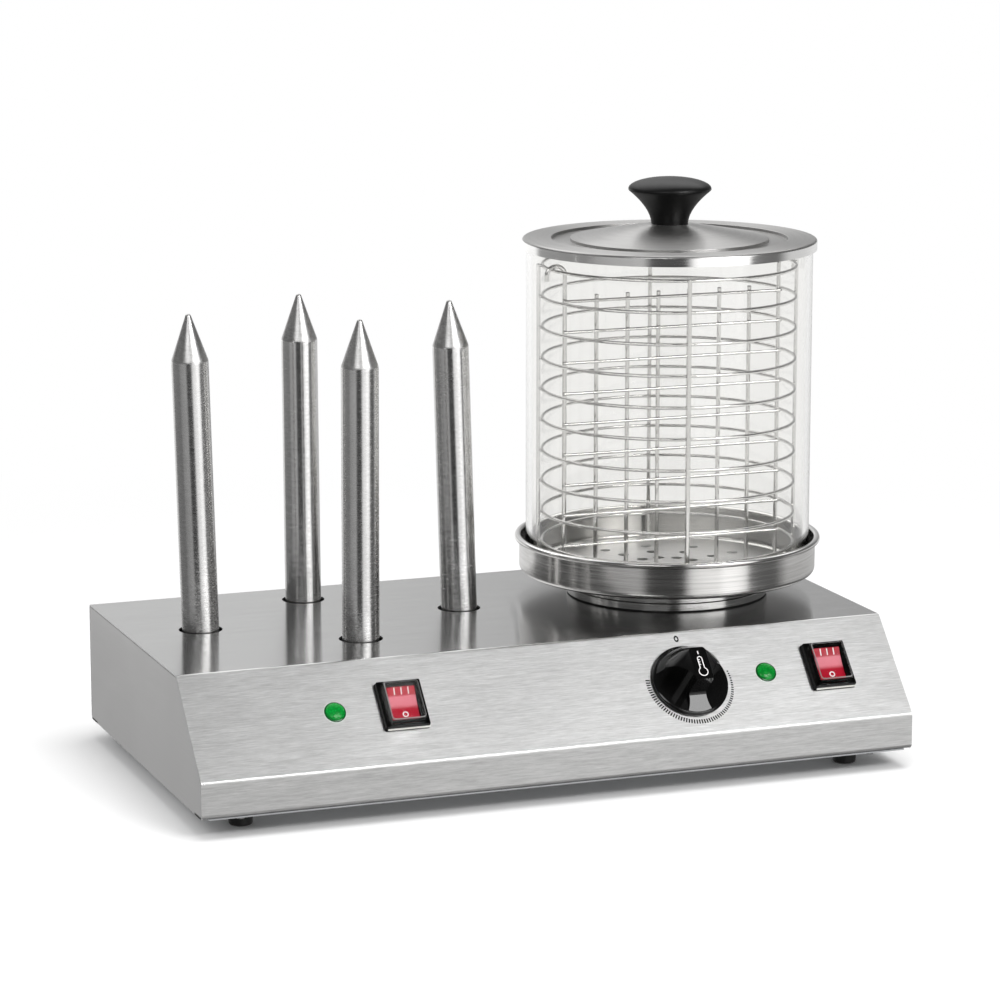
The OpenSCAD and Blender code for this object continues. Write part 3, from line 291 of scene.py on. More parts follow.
top_steel = steel(
    "polished_top_steel", (0.55, 0.55, 0.547), (0.60, 0.60, 0.597), 0.11, 0.14, 0.004, straight_grain,
    along=1.0, cloud=0.01, Stretch=(40.0, 900.0, 900.0))
# painted shade: the front strip gets a darker copy of the brushed housing steel
painted_shade_strip_steel = steel(
    "strip_steel_painted_shade", (0.325, 0.324, 0.32), (0.50, 0.498, 0.494), 0.28, 0.30, 0.015, straight_grain,
    along=0.9, marks=9.0, cloud=0.015, Stretch=(85.0, 1400.0, 1400.0))
housing = fit_piece(bm, "folded_housing", housing_steel, "base", "housing_steel", "housing_shell", crease=20)
refinish(housing, top_steel, lambda wall: wall.normal.z > squarely)
refinish(housing, painted_shade_strip_steel, lambda wall: wall.normal.y < -squarely)

# Side panels: flat sheets let in between the folds, with a fine seam all round.
# They are rolled stainless with a duller, finer grain than the brushed housing.
side_steel = steel(
    "rolled_side_steel", (0.68, 0.675, 0.67), (0.73, 0.725, 0.72), 0.36, 0.44, 0.03, straight_grain,
    marks=6.0, Stretch=(700.0, 14.0, 1100.0))


def dress(finish, *names):
    """Give CAD nodes that show as they are their finish."""
    for name in names:
        nodes[name].data.materials.clear()
        nodes[name].data.materials.append(finish)


dress(side_steel, "left_side_panel", "right_side_panel")

# Base plate, brackets and pillars: zinc-coated sheet steel under and inside the housing,
# pressed and screwed in place, with the coating's faint spangle.
zinc = steel(
    "zinc_coated_steel", (0.40, 0.41, 0.42), (0.55, 0.56, 0.57), 0.38, 0.55, 0.05, straight_grain,
    marks=40.0, Stretch=(120.0, 120.0, 120.0))
dress(zinc, "base_plate", "spike_bracket", "bracket_pillars", "pan_strap")

# Screws, studs and nuts, brass terminals and heaters: turned and plated steel, brass and dark sheaths.
# They hold and feed the base, the feet, the spikes and the boiler and are mostly out of sight.
fastener = steel(
    "plated_fastener_steel", (0.42, 0.42, 0.42), (0.60, 0.60, 0.59), 0.22, 0.4, 0.08, straight_grain,
    marks=90.0, Stretch=(900.0, 900.0, 200.0))
brass = steel(
    "terminal_brass", (0.60, 0.42, 0.16), (0.74, 0.55, 0.24), 0.24, 0.4, 0.06, straight_grain,
    marks=80.0, Stretch=(700.0, 700.0, 300.0))
sheath = steel(
    "heater_sheath", (0.16, 0.15, 0.14), (0.28, 0.26, 0.24), 0.35, 0.55, 0.1, straight_grain,
    marks=60.0, Stretch=(400.0, 400.0, 400.0))
dress(fastener, "base_screws", "foot_screws", "foot_nuts", "spike_plugs", "spike_nuts", "pan_stud", "pan_nut",
      "lid_screw", "thermostat_spindle", "earth_stud", "earth_nuts")
dress(brass, "switch_terminals", "terminal_screws", "thermostat_nut", "capillary", "thermostat_bulb")
dress(sheath, "spike_heaters", "ring_heater")


# Inner mouldings: the pilot lights' barrels and nuts, the thermostat's case and the terminal
# block are pale moulded plastic behind the panel, with a fine moulded texture.
def moulded(name, colour, other, rough, relief, scale, gloss=0.5):
    """A moulded plastic or rubber with a fine skin texture and slight colour variation."""
    finish, tree, shader = new_finish(name, {"Specular IOR Level": gloss})
    place = add(tree, "TexCoord").outputs["Object"]
    skin = add(tree, "TexNoise", {"Vector": place, "Scale": scale, "Detail": 3.0, "Roughness": 0.6})
    touched = add(tree, "Group", {"Coordinates": place, "Scale": 22.0}, node_tree=handling)
    tint = add(tree, "Mix", {0: touched, 6: (*colour, 1), 7: (*other, 1)}, data_type="RGBA")
    bump = add(tree, "Bump", {"Height": skin, "Strength": relief, "Distance": 0.0001})
    feed(shader, {"Base Color": tint.outputs[2], "Normal": bump,
                  "Roughness": spread(tree, touched, 0, 1, rough * 0.85, rough * 1.2)})
    return finish


pale_plastic = moulded("pale_moulding", (0.74, 0.73, 0.69), (0.66, 0.65, 0.61), 0.42, 0.15, 2500.0)
dress(pale_plastic, "pilot_bodies", "pilot_nuts", "thermostat_body", "terminal_block")

# Rubber feet: four black moulded buffers under the corners, a little smaller at the floor,
# each with a deep bore for the screw that holds it.
foot_sites = ((-215, -110.5), (215, -110.5), (-215, 100.5), (215, 100.5))
foot_outline = ((2.4, 13, 0), (8.75, 13, 0.5), (7.75, 0, 1.6), (4.4, 0, 0.5), (4.4, 7, 0), (2.4, 7, 0))
merge_within = 1e-6


def put(bm, place):
    """Move and turn a whole bmesh."""
    bmesh.ops.transform(bm, matrix=place, verts=bm.verts[:])
    return bm


def spin_round(bm, steps, at):
    """Spin an outline once round the upright axis, close it and put it in place."""
    bmesh.ops.spin(bm, geom=bm.verts[:] + bm.edges[:], cent=(0, 0, 0), axis=(0, 0, 1),
                   angle=math.tau, steps=steps, use_merge=True)
    bmesh.ops.remove_doubles(bm, verts=bm.verts[:], dist=merge_within)
    face_out(bm)
    return put(bm, Matrix.Translation(at))


def turned(outline, at=(0, 0, 0), closed=True, steps=96, smooth=6):
    """Spin an outline of (radius, height, rounding), in millimetres, round an upright axis."""
    bm = bmesh.new()
    points = [bm.verts.new((radius * mm, 0, height * mm)) for radius, height, _ in outline]
    for pair in zip(points, points[1:] + points[:1] if closed else points[1:]):
        bm.edges.new(pair)
    for point, (_, _, rounding) in zip(points, outline):
        if rounding:
            round_corner(bm, point, rounding, smooth)
    return spin_round(bm, steps, at)


def gather(shapes):
    """Put several bmeshes into one."""
    whole = bmesh.new()
    for shape in shapes:
        carrier = bpy.data.meshes.new("carrier")
        shape.to_mesh(carrier)
        shape.free()
        whole.from_mesh(carrier)
        bpy.data.meshes.remove(carrier)
    return whole


rubber = moulded("black_rubber", (0.012, 0.012, 0.012), (0.022, 0.021, 0.02), 0.62, 0.35, 1800.0, gloss=0.35)
feet = [turned(foot_outline, Vector((x, y, 0)) * mm, steps=48) for x, y in foot_sites]
fit_piece(gather(feet), "moulded_feet", rubber, "base", "black_rubber", "rubber_feet")

# Heating spikes: stainless tubes with a cone welded on and ground matt by hand, each held on a stud
# below the top, so they lean a little and stand in holes wider than themselves. The two at the front
# are worn duller than the others.
spike_names = ("spike_left", "spike_rear", "spike_front", "spike_right")
spike_leans = (-1.4, -0.3, 0.2, -1.8)
spike_wear = (0.05, 0, 0.05, 0.02)
spike_outline = ((11.5, 66.8, 0), (12.5, 66.8, 0), (12.5, 140, 0), (12.5, 210, 0), (12.5, 280, 7),
                 (1.887, 310.16, 0), (1.414, 310.91, 0), (0.684, 311.38, 0), (0, 311.5, 0))
on_cone = 0.15
grain_pitch, at_axis = 0.1, 1e-5


def grain_round(bm, axis):
    """Lay the grain map round an upright axis, as a lathe would leave it."""
    layer = bm.loops.layers.uv.new("grain")
    for face in bm.faces:
        middle = face.calc_center_median() - axis
        bearing = math.atan2(middle.y, middle.x)
        for loop in face.loops:
            arm = loop.vert.co - axis
            angle = math.atan2(arm.y, arm.x) if arm.xy.length > at_axis else bearing
            angle += math.tau * round((bearing - angle) / math.tau)
            loop[layer].uv = (angle * grain_pitch, arm.xy.length + arm.z)
    return bm


for name, (x, y), lean, worn in zip(spike_names, spike_sites, spike_leans, spike_wear):
    axis = Vector((x, y, 0)) * mm
    spike_steel = steel(
        "ground_" + name, (0.56, 0.555, 0.55), (0.72, 0.715, 0.71), 0.13 + worn, 0.22 + worn,
        0.16 - 1.2 * worn, turned_grain, centre=axis, along=0.55, marks=45.0, Fineness=900.0, Breaks=3.0)
    tip_steel = steel(
        "matt_tip_of_" + name, (0.52, 0.515, 0.51), (0.72, 0.715, 0.71), 0.30, 0.38, 0.20, turned_grain,
        centre=axis, along=0.3, marks=45.0, Fineness=900.0, Breaks=3.0)
    bm = grain_round(turned(spike_outline, axis, closed=False, steps=72, smooth=8), axis)
    bmesh.ops.rotate(bm, verts=bm.verts[:], cent=(x * mm, y * mm, top_z * mm),
                     matrix=Matrix.Rotation(math.radians(lean), 3, "Y"))
    spike = fit_piece(bm, "ground_" + name, spike_steel, "base", "spike_steel", name)
    refinish(spike, tip_steel, lambda face: face.normal.z > on_cone)

# Collar and gasket: a turned stainless ring with a broad flange carries the pan above the top.
# It sits on a thin black gasket that seals the hole for the well; the gasket's black also stands in for the
# shadow line under the flange, as painted shadow.
gasket_and_shadow_outline = ((66.2, 96, 0), (70.3, 96, 0), (70.3, 96.8, 0), (66.2, 96.8, 0))
collar_outline = ((67.8, 96.8, 0), (70.8, 96.8, 0.4), (70.8, 102, 0.6), (69.3, 102, 0.3), (69.3, 112, 0),
                  (67.8, 112, 0))
# partly painted shadow: the black gasket ring also stands for the shadow line under the collar's flange
fit_piece(turned(gasket_and_shadow_outline, jar_axis), "gasket_and_painted_shadow", rubber, "base", "black_rubber", "collar_gasket")
collar_steel = steel(
    "turned_collar_steel", (0.57, 0.565, 0.555), (0.73, 0.725, 0.715), 0.10, 0.18, 0.10, turned_grain,
    centre=jar_axis, along=0.5, marks=30.0, Fineness=1400.0, Breaks=2.0)
fit_piece(grain_round(turned(collar_outline, jar_axis, steps=144), jar_axis), "turned_collar", collar_steel,
          "base", "spun_steel", "boiler_collar")

# Water pan: spun stainless with a rolled rim and a flat shelf for the glass, lightened inside and on top as
# painted highlight and darkened underneath as painted shade; the water well is a cup welded into the shelf
# below the perforated plate.
pan_outline = ((65.22, 112, 0), (104, 112, 4), (104, 134.1, 0.5), (107.4, 134.1, 1.85), (107.4, 137.9, 1.85),
               (102.8, 137.9, 1.85), (102.8, 113.2, 2.8), (65.22, 113.2, 0))
well_outline = ((0, 98, 0), (65.2, 98, 2.2), (65.2, 113.2, 0), (64, 113.2, 0), (64, 99.2, 1.2), (0, 99.2, 0))
looks_up, looks_down = 0.5, -0.7
pan_steel = steel(
    "spun_pan_steel", (0.62, 0.61, 0.595), (0.80, 0.79, 0.775), 0.14, 0.22, 0.05, turned_grain,
    centre=jar_axis, along=0.6, marks=18.0, cloud=0.03, Fineness=900.0, Breaks=1.5)
# painted highlight: a lighter copy of the pan steel for the inward and upward faces
painted_highlight_pan_steel = steel(
    "pan_steel_painted_highlight", (0.82, 0.815, 0.805), (0.92, 0.915, 0.905), 0.14, 0.22, 0.06, turned_grain,
    centre=jar_axis, along=0.6, marks=18.0, Fineness=900.0, Breaks=1.5)
# painted shade: a near-black copy of the pan steel for the downward faces
painted_shade_pan_steel = steel(
    "pan_steel_painted_shade", (0.10, 0.097, 0.092), (0.16, 0.155, 0.148), 0.34, 0.44, 0.06, turned_grain,
    centre=jar_axis, along=0.3, marks=18.0, cloud=0.04, Fineness=900.0, Breaks=1.5)
pan = fit_piece(grain_round(turned(pan_outline, jar_axis, steps=160), jar_axis), "spun_pan", pan_steel,
                "base", "spun_steel", "boiler_pan")
refinish(pan, painted_highlight_pan_steel,
         lambda face: face.normal.dot(face.center - jar_axis) < 0 or face.normal.z > looks_up)
refinish(pan, painted_shade_pan_steel, lambda face: face.normal.z < looks_down)
fit_piece(grain_round(turned(well_outline, jar_axis, closed=False), jar_axis), "pressed_well", pan_steel,
          "base", "spun_steel", "water_well")

# Perforated plate: a punched stainless disc that lies loose on the shelf inside the glass
# and lets the steam through; it lifts out.
plate_r, plate_low, plate_high = 93.5, 113.4, 114.6
plate_hole_r, plate_rows, plate_spokes, plate_turn = 4, (25, 45, 65), 12, 20


def grow(bm, faces, rise, factor=(1, 1), keep=False):
    """Pull faces out along z by rise millimetres and scale them about the middle; gives the new end faces.
    The faces they start from go, unless they are kept to close the start of a solid."""
    grown = bmesh.ops.extrude_face_region(bm, geom=faces)
    verts = fresh(grown)
    if not keep:
        bmesh.ops.delete(bm, geom=faces, context="FACES_ONLY")
    bmesh.ops.translate(bm, verts=verts, vec=(0, 0, rise * mm))
    bmesh.ops.scale(bm, verts=verts, vec=(*factor, 1))
    return fresh(grown, bmesh.types.BMFace)


bm = bmesh.new()
punched = [(0, 0, plate_r, 144)]
for row in plate_rows:
    for i in range(plate_spokes):
        way = math.radians(plate_turn + i * 360 / plate_spokes)
        punched.append((row * math.cos(way), row * math.sin(way), plate_hole_r, 28))
rims = []
for x, y, radius, segments in punched:
    rims += edges_of(bmesh.ops.create_circle(
        bm, radius=radius * mm, segments=segments,
        matrix=Matrix.Translation(jar_axis) @ shift(x, y, plate_high))["verts"])
bmesh.ops.triangle_fill(bm, use_beauty=True, edges=rims, normal=(0, 0, 1))
grow(bm, bm.faces[:], plate_low - plate_high, keep=True)
face_out(bm)
plate_steel = steel(
    "punched_plate_steel", (0.84, 0.835, 0.83), (0.92, 0.915, 0.91), 0.36, 0.42, 0.0, turned_grain,
    centre=jar_axis, marks=20.0, Fineness=500.0, Breaks=2.0)
fit_piece(bm, "punched_plate", plate_steel, "steam_plate", "spun_steel", "perforated_plate")

# Glass cylinder: a clear drawn borosilicate tube with fire-polished ends that stands
# on the pan's shelf; drawing leaves faint long streaks in it.
glass_outline = ((95.5, 113.4, 1.2), (99.5, 113.4, 1.2), (99.5, 345.4, 1.2), (95.5, 345.4, 1.2))
jar_glass, tree, shader = new_finish(
    "drawn_glass", {"Base Color": (0.94, 0.937, 0.925, 1), "Transmission Weight": 1.0, "IOR": 1.45})
place = add(tree, "TexCoord").outputs["Object"]
drawn = add(tree, "Mapping", {0: place, "Scale": (60.0, 60.0, 1.2)})
streak = add(tree, "TexNoise", {"Vector": drawn, "Scale": 1.0, "Detail": 2.0})
smear = add(tree, "Group", {"Coordinates": place, "Scale": 9.0}, node_tree=handling)
feed(shader, {"Roughness": spread(tree, smear, 0, 1, 0.0, 0.025),
              "Normal": add(tree, "Bump", {"Height": streak, "Strength": 0.03, "Distance": 0.0004})})
fit_piece(turned(glass_outline, jar_axis, steps=192), "drawn_glass_tube", jar_glass, "jar_glass", "jar_glass",
          "glass_cylinder")

# Wire basket: ten rings of bright chromed wire, welded inside four thicker uprights
# with a small nugget at every crossing.
ring_r, ring_wire, ring_low, ring_pitch, ring_count = 88.2, 2.4, 133.8, 21.65, 10
post_r, post_wire, post_low, post_high, post_turn, post_count = 90.92, 3.0, 114.8, 329.85, -14.5, 4
weld_in, weld_r = 1.7, 1.15
wire_sides, wire_crease, wire_round = 14, 60, 0.22
jar_mm = jar_axis / mm
chrome = steel(
    "bright_chrome_wire", (0.66, 0.655, 0.645), (0.78, 0.775, 0.765), 0.06, 0.12, 0.04, straight_grain,
    marks=50.0, Stretch=(500.0, 500.0, 90.0))


def bar(start, end, wire):
    """A straight wire from start to end, in millimetres, with its ends rounded off."""
    run = Vector(end) - Vector(start)
    bm = bmesh.new()
    bmesh.ops.create_cone(bm, cap_ends=True, segments=wire_sides, depth=run.length * mm,
                          radius1=wire / 2 * mm, radius2=wire / 2 * mm)
    ends = [edge for edge in bm.edges if len({round(v.co.z, 6) for v in edge.verts}) == 1]
    round_off(bm, ends, wire * wire_round, 3)
    turn = Vector((0, 0, 1)).rotation_difference(run).to_matrix().to_4x4()
    return put(bm, shift(*(Vector(start) + run / 2)) @ turn)


def nugget(at, size):
    """A small lump of weld metal, in millimetres."""
    bm = bmesh.new()
    bmesh.ops.create_icosphere(bm, subdivisions=2, radius=size * mm, matrix=shift(*at))
    return bm


hoops = []
for i in range(ring_count):
    bm = bmesh.new()
    bmesh.ops.create_circle(bm, radius=ring_wire / 2 * mm, segments=wire_sides,
                            matrix=shift(ring_r, 0, 0) @ Matrix.Rotation(math.pi / 2, 4, "X"))
    hoops.append(spin_round(bm, 128, (jar_mm + Vector((0, 0, ring_low + i * ring_pitch))) * mm))
fit_piece(gather(hoops), "wire_hoops", chrome, "wire_basket", "wire_chrome", "basket_rings",
          crease=wire_crease)
posts = []
for i in range(post_count):
    way = math.radians(post_turn + i * 360 / post_count)
    out = Vector((math.cos(way), math.sin(way), 0))
    foot = jar_mm + out * post_r
    posts.append(bar(foot + Vector((0, 0, post_low)), foot + Vector((0, 0, post_high)), post_wire))
    posts += [nugget(foot - out * weld_in + Vector((0, 0, ring_low + k * ring_pitch)), weld_r)
              for k in range(ring_count)]
fit_piece(gather(posts), "wire_posts", chrome, "wire_basket", "wire_chrome", "basket_uprights",
          crease=wire_crease)

# Wire divider: a flat grid of eight uprights and nine thinner crossbars that parts the basket;
# its two end uprights are bent over into hooks that hang on the top ring.
divider_y, bar_wire, bar_span, bar_count = 8.4, 3.0, 161.0, 8
bar_low, bar_high, hook_z, hook_r, hook_tail, hook_steps = 114.8, 311.4, 325.68, 6.1, 4, 14
cross_wire, cross_y, cross_low, cross_pitch, cross_count, cross_half = 2.2, 19.78, 136.2, 21.4, 9, 82.0
cross_weld_r = 1.05
row_y = jar_mm.y - divider_y
bar_xs = [jar_mm.x - bar_span / 2 + i * bar_span / (bar_count - 1) for i in range(bar_count)]
grid = [bar((x, row_y, bar_low), (x, row_y, bar_high), bar_wire) for x in bar_xs[1:-1]]
for x, side in ((bar_xs[0], -1), (bar_xs[-1], 1)):
    bm = bmesh.new()
    bmesh.ops.create_circle(bm, cap_ends=True, radius=bar_wire / 2 * mm, segments=wire_sides,
                            matrix=shift(x, row_y, bar_low))
    end = grow(bm, bm.faces[:], hook_z - bar_low, keep=True)
    bent = bmesh.ops.spin(bm, geom=end, cent=Vector((x + side * hook_r, row_y, hook_z)) * mm, axis=(0, 1, 0),
                          angle=side * math.pi, steps=hook_steps)
    grow(bm, fresh(bent, bmesh.types.BMFace, "geom_last"), -hook_tail, keep=True)
    inner = [f for f in bm.faces if all(len(edge.link_faces) > 2 for edge in f.edges)]
    bmesh.ops.delete(bm, geom=inner, context="FACES_ONLY")
    bmesh.ops.remove_doubles(bm, verts=bm.verts[:], dist=merge_within)
    face_out(bm)
    grid.append(bm)
fit_piece(gather(grid), "divider_grid", chrome, "wire_divider", "wire_chrome", "divider_uprights",
          crease=wire_crease)
rungs = []
for i in range(cross_count):
    z = cross_low + i * cross_pitch
    rungs.append(bar((jar_mm.x - cross_half, cross_y, z), (jar_mm.x + cross_half, cross_y, z), cross_wire))
    rungs += [nugget((x, (cross_y + row_y) / 2, z), cross_weld_r) for x in bar_xs]
fit_piece(gather(rungs), "divider_rungs", chrome, "wire_divider", "wire_chrome", "divider_crossbars",
          crease=wire_crease)

# Lid: spun from thin stainless, with a turned-down skirt over the glass, a stepped groove
# and a shallow cone up to the knob; the spinning roller leaves rings in it and brightens the skirt.
lid_outline = ((3, 356.4, 0), (15, 356.4, 1.5), (69, 346.8, 0.5), (69, 344.4, 0.5), (82, 344.4, 0.5),
               (82, 346.8, 0.5), (102.3, 346.8, 1.8), (102.3, 339.6, 0))
lid_sheet, skirt_r, upright = 1.2, 101.5, 0.3
lid_steel = steel(
    "spun_lid_steel", (0.45, 0.445, 0.437), (0.56, 0.555, 0.547), 0.30, 0.38, 0.08, turned_grain,
    centre=jar_axis, along=0.7, marks=16.0, Fineness=1100.0, Breaks=1.2)
skirt_steel = steel(
    "rolled_skirt_steel", (0.72, 0.715, 0.705), (0.84, 0.835, 0.825), 0.12, 0.20, 0.06, turned_grain,
    centre=jar_axis, along=0.6, marks=16.0, Fineness=900.0, Breaks=1.2)
bm = turned(lid_outline, jar_axis, closed=False, steps=192)
if sum(f.normal.z * f.calc_area() for f in bm.faces) < 0:
    bmesh.ops.reverse_faces(bm, faces=bm.faces[:])
bmesh.ops.solidify(bm, geom=bm.faces[:], thickness=lid_sheet * mm)
lid = fit_piece(grain_round(bm, jar_axis), "spun_lid", lid_steel, "jar_lid", "spun_steel", "lid_shell",
                crease=24)
refinish(lid, skirt_steel, lambda face: abs(face.normal.z) < upright
         and (face.center - jar_axis).xy.length > skirt_r * mm)

# Lid knob: a moulded black phenolic knob with a trumpet neck and a domed top,
# screwed on from under the lid, satin with a slight sheen.
neck_z, lip_z, dome_z, neck_r, lip_r = 356.6, 380.8, 388.8, 12.8, 28.8
flare, flare_short, flare_low = 1.8, 0.6, 1.4
flare_steps = (0, 0.12, 0.25, 0.38, 0.5, 0.62, 0.72, 0.82, 0.91, 1.0)
dome_angles = [math.radians(a) for a in (12, 22, 32, 42, 52, 62, 72, 81)]
knob_outline = [(0, neck_z, 0)]
knob_outline += [(neck_r + (lip_r - flare_short - neck_r) * t ** flare,
                  neck_z + (lip_z - flare_low - neck_z) * t, 0) for t in flare_steps]
knob_outline += [(lip_r, lip_z - 0.6, 0), (lip_r, lip_z + 0.3, 0)]
knob_outline += [(lip_r * math.cos(a), lip_z + (dome_z - lip_z) * math.sin(a), 0) for a in dome_angles]
knob_outline += [(0, dome_z, 0)]
satin_black = moulded(
    "satin_phenolic", (0.003, 0.003, 0.003), (0.005, 0.005, 0.005), 0.34, 0.10, 2600.0, gloss=0.25)
fit_piece(turned(knob_outline, jar_axis, closed=False, steps=128), "trumpet_knob", satin_black, "jar_lid",
          "satin_black", "lid_knob", crease=40)

# Switch bodies: black moulded rocker switches pushed into the sloped panel from the front, with a
# square-edged frame proud of the sheet, a deep pocket for the rocker and a box behind the panel;
# a thin pale bar along the bottom of the frame is a painted highlight.
bezel_w, bezel_l, bezel_h, bezel_r, bezel_round = 31, 35, 4.6, 0.9, 0.4
box_deep, box_w, box_l, off_panel = 24, switch_w - 0.4, switch_l - 0.4, 0.05
foot_h, draft, pocket_edge, pocket_deep = 0.9, (0.985, 0.985), 4.6, 8
edge_left, edge_right = 1.6 - bezel_w / 2, bezel_w / 2 - 0.4
edge_y, edge_z, edge_wire = 0.3 - bezel_l / 2, 1.9, 1.5
gloss_black = moulded(
    "gloss_black_moulding", (0.002, 0.002, 0.002), (0.004, 0.004, 0.004), 0.07, 0.02, 1500.0, gloss=0.42)
frame_black = moulded(
    "frame_black_moulding", (0.002, 0.002, 0.002), (0.004, 0.004, 0.004), 0.16, 0.05, 1500.0, gloss=0.2)


def plate_of(w, l, z, radius, segments=5):
    """A flat rounded rectangle at height z, in millimetres."""
    bm = bmesh.new()
    bmesh.ops.create_grid(bm, x_segments=1, y_segments=1, size=0.5)
    bmesh.ops.scale(bm, verts=bm.verts[:], vec=(w * mm, l * mm, 1))
    round_off(bm, bm.verts[:], radius, segments, "VERTICES")
    return put(bm, shift(0, 0, z))


for side, x in switch_xs.items():
    bm = plate_of(box_w, box_l, -box_deep, bezel_r)
    face = grow(bm, bm.faces[:], box_deep + off_panel, keep=True)
    for rise, factor in ((0, (bezel_w / box_w, bezel_l / box_l)), (foot_h, (1, 1)), (0, draft),
                         (bezel_h - foot_h - off_panel, draft)):
        face = grow(bm, face, rise, factor)
    round_off(bm, list(face[0].edges), bezel_round, 3)
    face = [max(bm.faces, key=lambda f: (round(f.calc_center_median().z, 6), f.calc_area()))]
    bmesh.ops.inset_region(bm, faces=face, thickness=pocket_edge * mm, use_even_offset=True)
    grow(bm, face, -pocket_deep)
    face_out(bm)
    fit_piece(put(bm, on_slope(x)), side + "_switch_frame", frame_black, "base", "gloss_black",
              side + "_switch_body")
    # painted highlight: a thin pale bar laid along the bottom edge of the frame
    painted_highlight_bar = bar((edge_left, edge_y, edge_z), (edge_right, edge_y, edge_z), edge_wire)
    fit_piece(put(painted_highlight_bar, on_slope(x)), side + "_switch_painted_highlight", pale_plastic, "base", "pale_plastic")

# Rockers: translucent red mouldings on two trunnions, resting with the upper end raised, off;
# a light pink band painted across the middle is a painted highlight, and the faces carry strokes and a ring
# in white.
rocker_w, rocker_pivot, rocker_rest, rocker_round, hard_edge = 19.2, 1, 9, 0.6, 40
rocker_side = ((-12.2, -3), (12.2, -3), (11.8, 4.4), (6.2, 3.45), (0, 3.2), (-6.2, 3.45), (-11.8, 4.4))
highlight_band_low, highlight_band_high = (on_slope(0, along=edge).translation.dot(up_slope) for edge in (-2.2, 5.2))
print_h, end_tilt = 0.12, math.radians(9)
mark_w, mark_l, mark_xs, mark_y, mark_z = 0.75, 4.8, (-4.8, 0, 4.8), 8.8, 3.912
loop_in, loop_out, loop_y, loop_z = 1.3, 2.05, -7.4, 3.674
rocker_red = moulded("rocker_red", (0.36, 0.006, 0.02), (0.44, 0.012, 0.03), 0.22, 0.04, 900.0, gloss=0.12)
tree = rocker_red.node_tree
up = add(tree, "VectorMath", {0: tree.nodes["Texture Coordinate"].outputs["Object"], 1: up_slope},
         operation="DOT_PRODUCT").outputs["Value"]
# painted highlight: a light pink is mixed into the red across the middle of the rocker
painted_highlight_band = add(tree, "Math", {0: spread(tree, up, highlight_band_low - 0.0022, highlight_band_low + 0.0012, eased=True),
                            1: spread(tree, up, highlight_band_high + 0.0008, highlight_band_high - 0.0012, eased=True)},
             operation="MULTIPLY")
lit = add(tree, "Mix", {0: painted_highlight_band, 6: tree.nodes["Mix"].outputs[2], 7: (0.66, 0.19, 0.235, 1)},
          data_type="RGBA")
feed(tree.nodes["Principled BSDF"], {"Base Color": lit.outputs[2]})
white_print = moulded("white_print", (0.82, 0.80, 0.80), (0.76, 0.74, 0.74), 0.4, 0.05, 3000.0)


def stroke_of(w, l, low, height, radius, segments):
    """A thin raised stroke of print, in millimetres."""
    bm = plate_of(w, l, low, radius, segments)
    grow(bm, bm.faces[:], height, keep=True)
    return bm


def loop_of(inner, outer, low, high, steps):
    """A thin raised ring of print, in millimetres."""
    return turned(((inner, low, 0), (outer, low, 0), (outer, high, 0), (inner, high, 0)), steps=steps)


for side, x in switch_xs.items():
    tilted = on_slope(x, lift=rocker_pivot) @ Matrix.Rotation(math.radians(rocker_rest), 4, "X")
    bm = bmesh.new()
    edge = [bm.verts.new((-rocker_w / 2 * mm, y * mm, z * mm)) for y, z in rocker_side]
    pulled = bmesh.ops.extrude_face_region(bm, geom=[bm.faces.new(edge)])
    bmesh.ops.translate(bm, verts=fresh(pulled), vec=(rocker_w * mm, 0, 0))
    face_out(bm)
    round_off(bm, [e for e in bm.edges if e.calc_face_angle(0) > math.radians(hard_edge)], rocker_round, 3)
    fit_piece(put(bm, tilted), side + "_rocker_moulding", rocker_red, side + "_switch_rocker", "rocker_red",
              side + "_rocker")
    marks = [put(stroke_of(mark_w, mark_l, 0, print_h, 0.3, 3),
                 shift(mark_x, mark_y, mark_z) @ Matrix.Rotation(end_tilt, 4, "X")) for mark_x in mark_xs]
    marks.append(put(loop_of(loop_in, loop_out, 0, print_h, 40),
                     shift(0, loop_y, loop_z) @ Matrix.Rotation(-end_tilt, 4, "X")))
    bm = gather(marks)
    face_out(bm)
    fit_piece(put(bm, tilted), side + "_rocker_marks", white_print, side + "_switch_rocker", "rocker_red")

# Splash caps: soft clear vinyl boots clipped over the bezels, box-shaped with drawn-in tops,
# so that the rockers can be pressed through them with wet hands; the bent edges are opaque grey, a painted
# highlight.
cap_w, cap_l, cap_h, cap_r, cap_taper, cap_wall, cap_round = 25, 30, 5.4, 2.5, 1.0, 0.8, 0.7
bend_from, bend_to = 0.5, 0.96
clear_cap, tree, shader = new_finish(
    "clear_vinyl", {"Base Color": (0.97, 0.965, 0.96, 1), "Transmission Weight": 1.0, "IOR": 1.1})
place = add(tree, "TexCoord").outputs["Object"]
ripple = add(tree, "TexNoise", {"Vector": place, "Scale": 220.0, "Detail": 2.0})
feed(shader, {"Roughness": spread(tree, ripple, 0.3, 0.7, 0.0, 0.04),
              "Normal": add(tree, "Bump", {"Height": ripple, "Strength": 0.03, "Distance": 0.0006})})
painted_edge_highlight = moulded("vinyl_edge_painted_highlight", (0.20, 0.19, 0.19), (0.28, 0.27, 0.27), 0.2, 0.02, 1500.0)
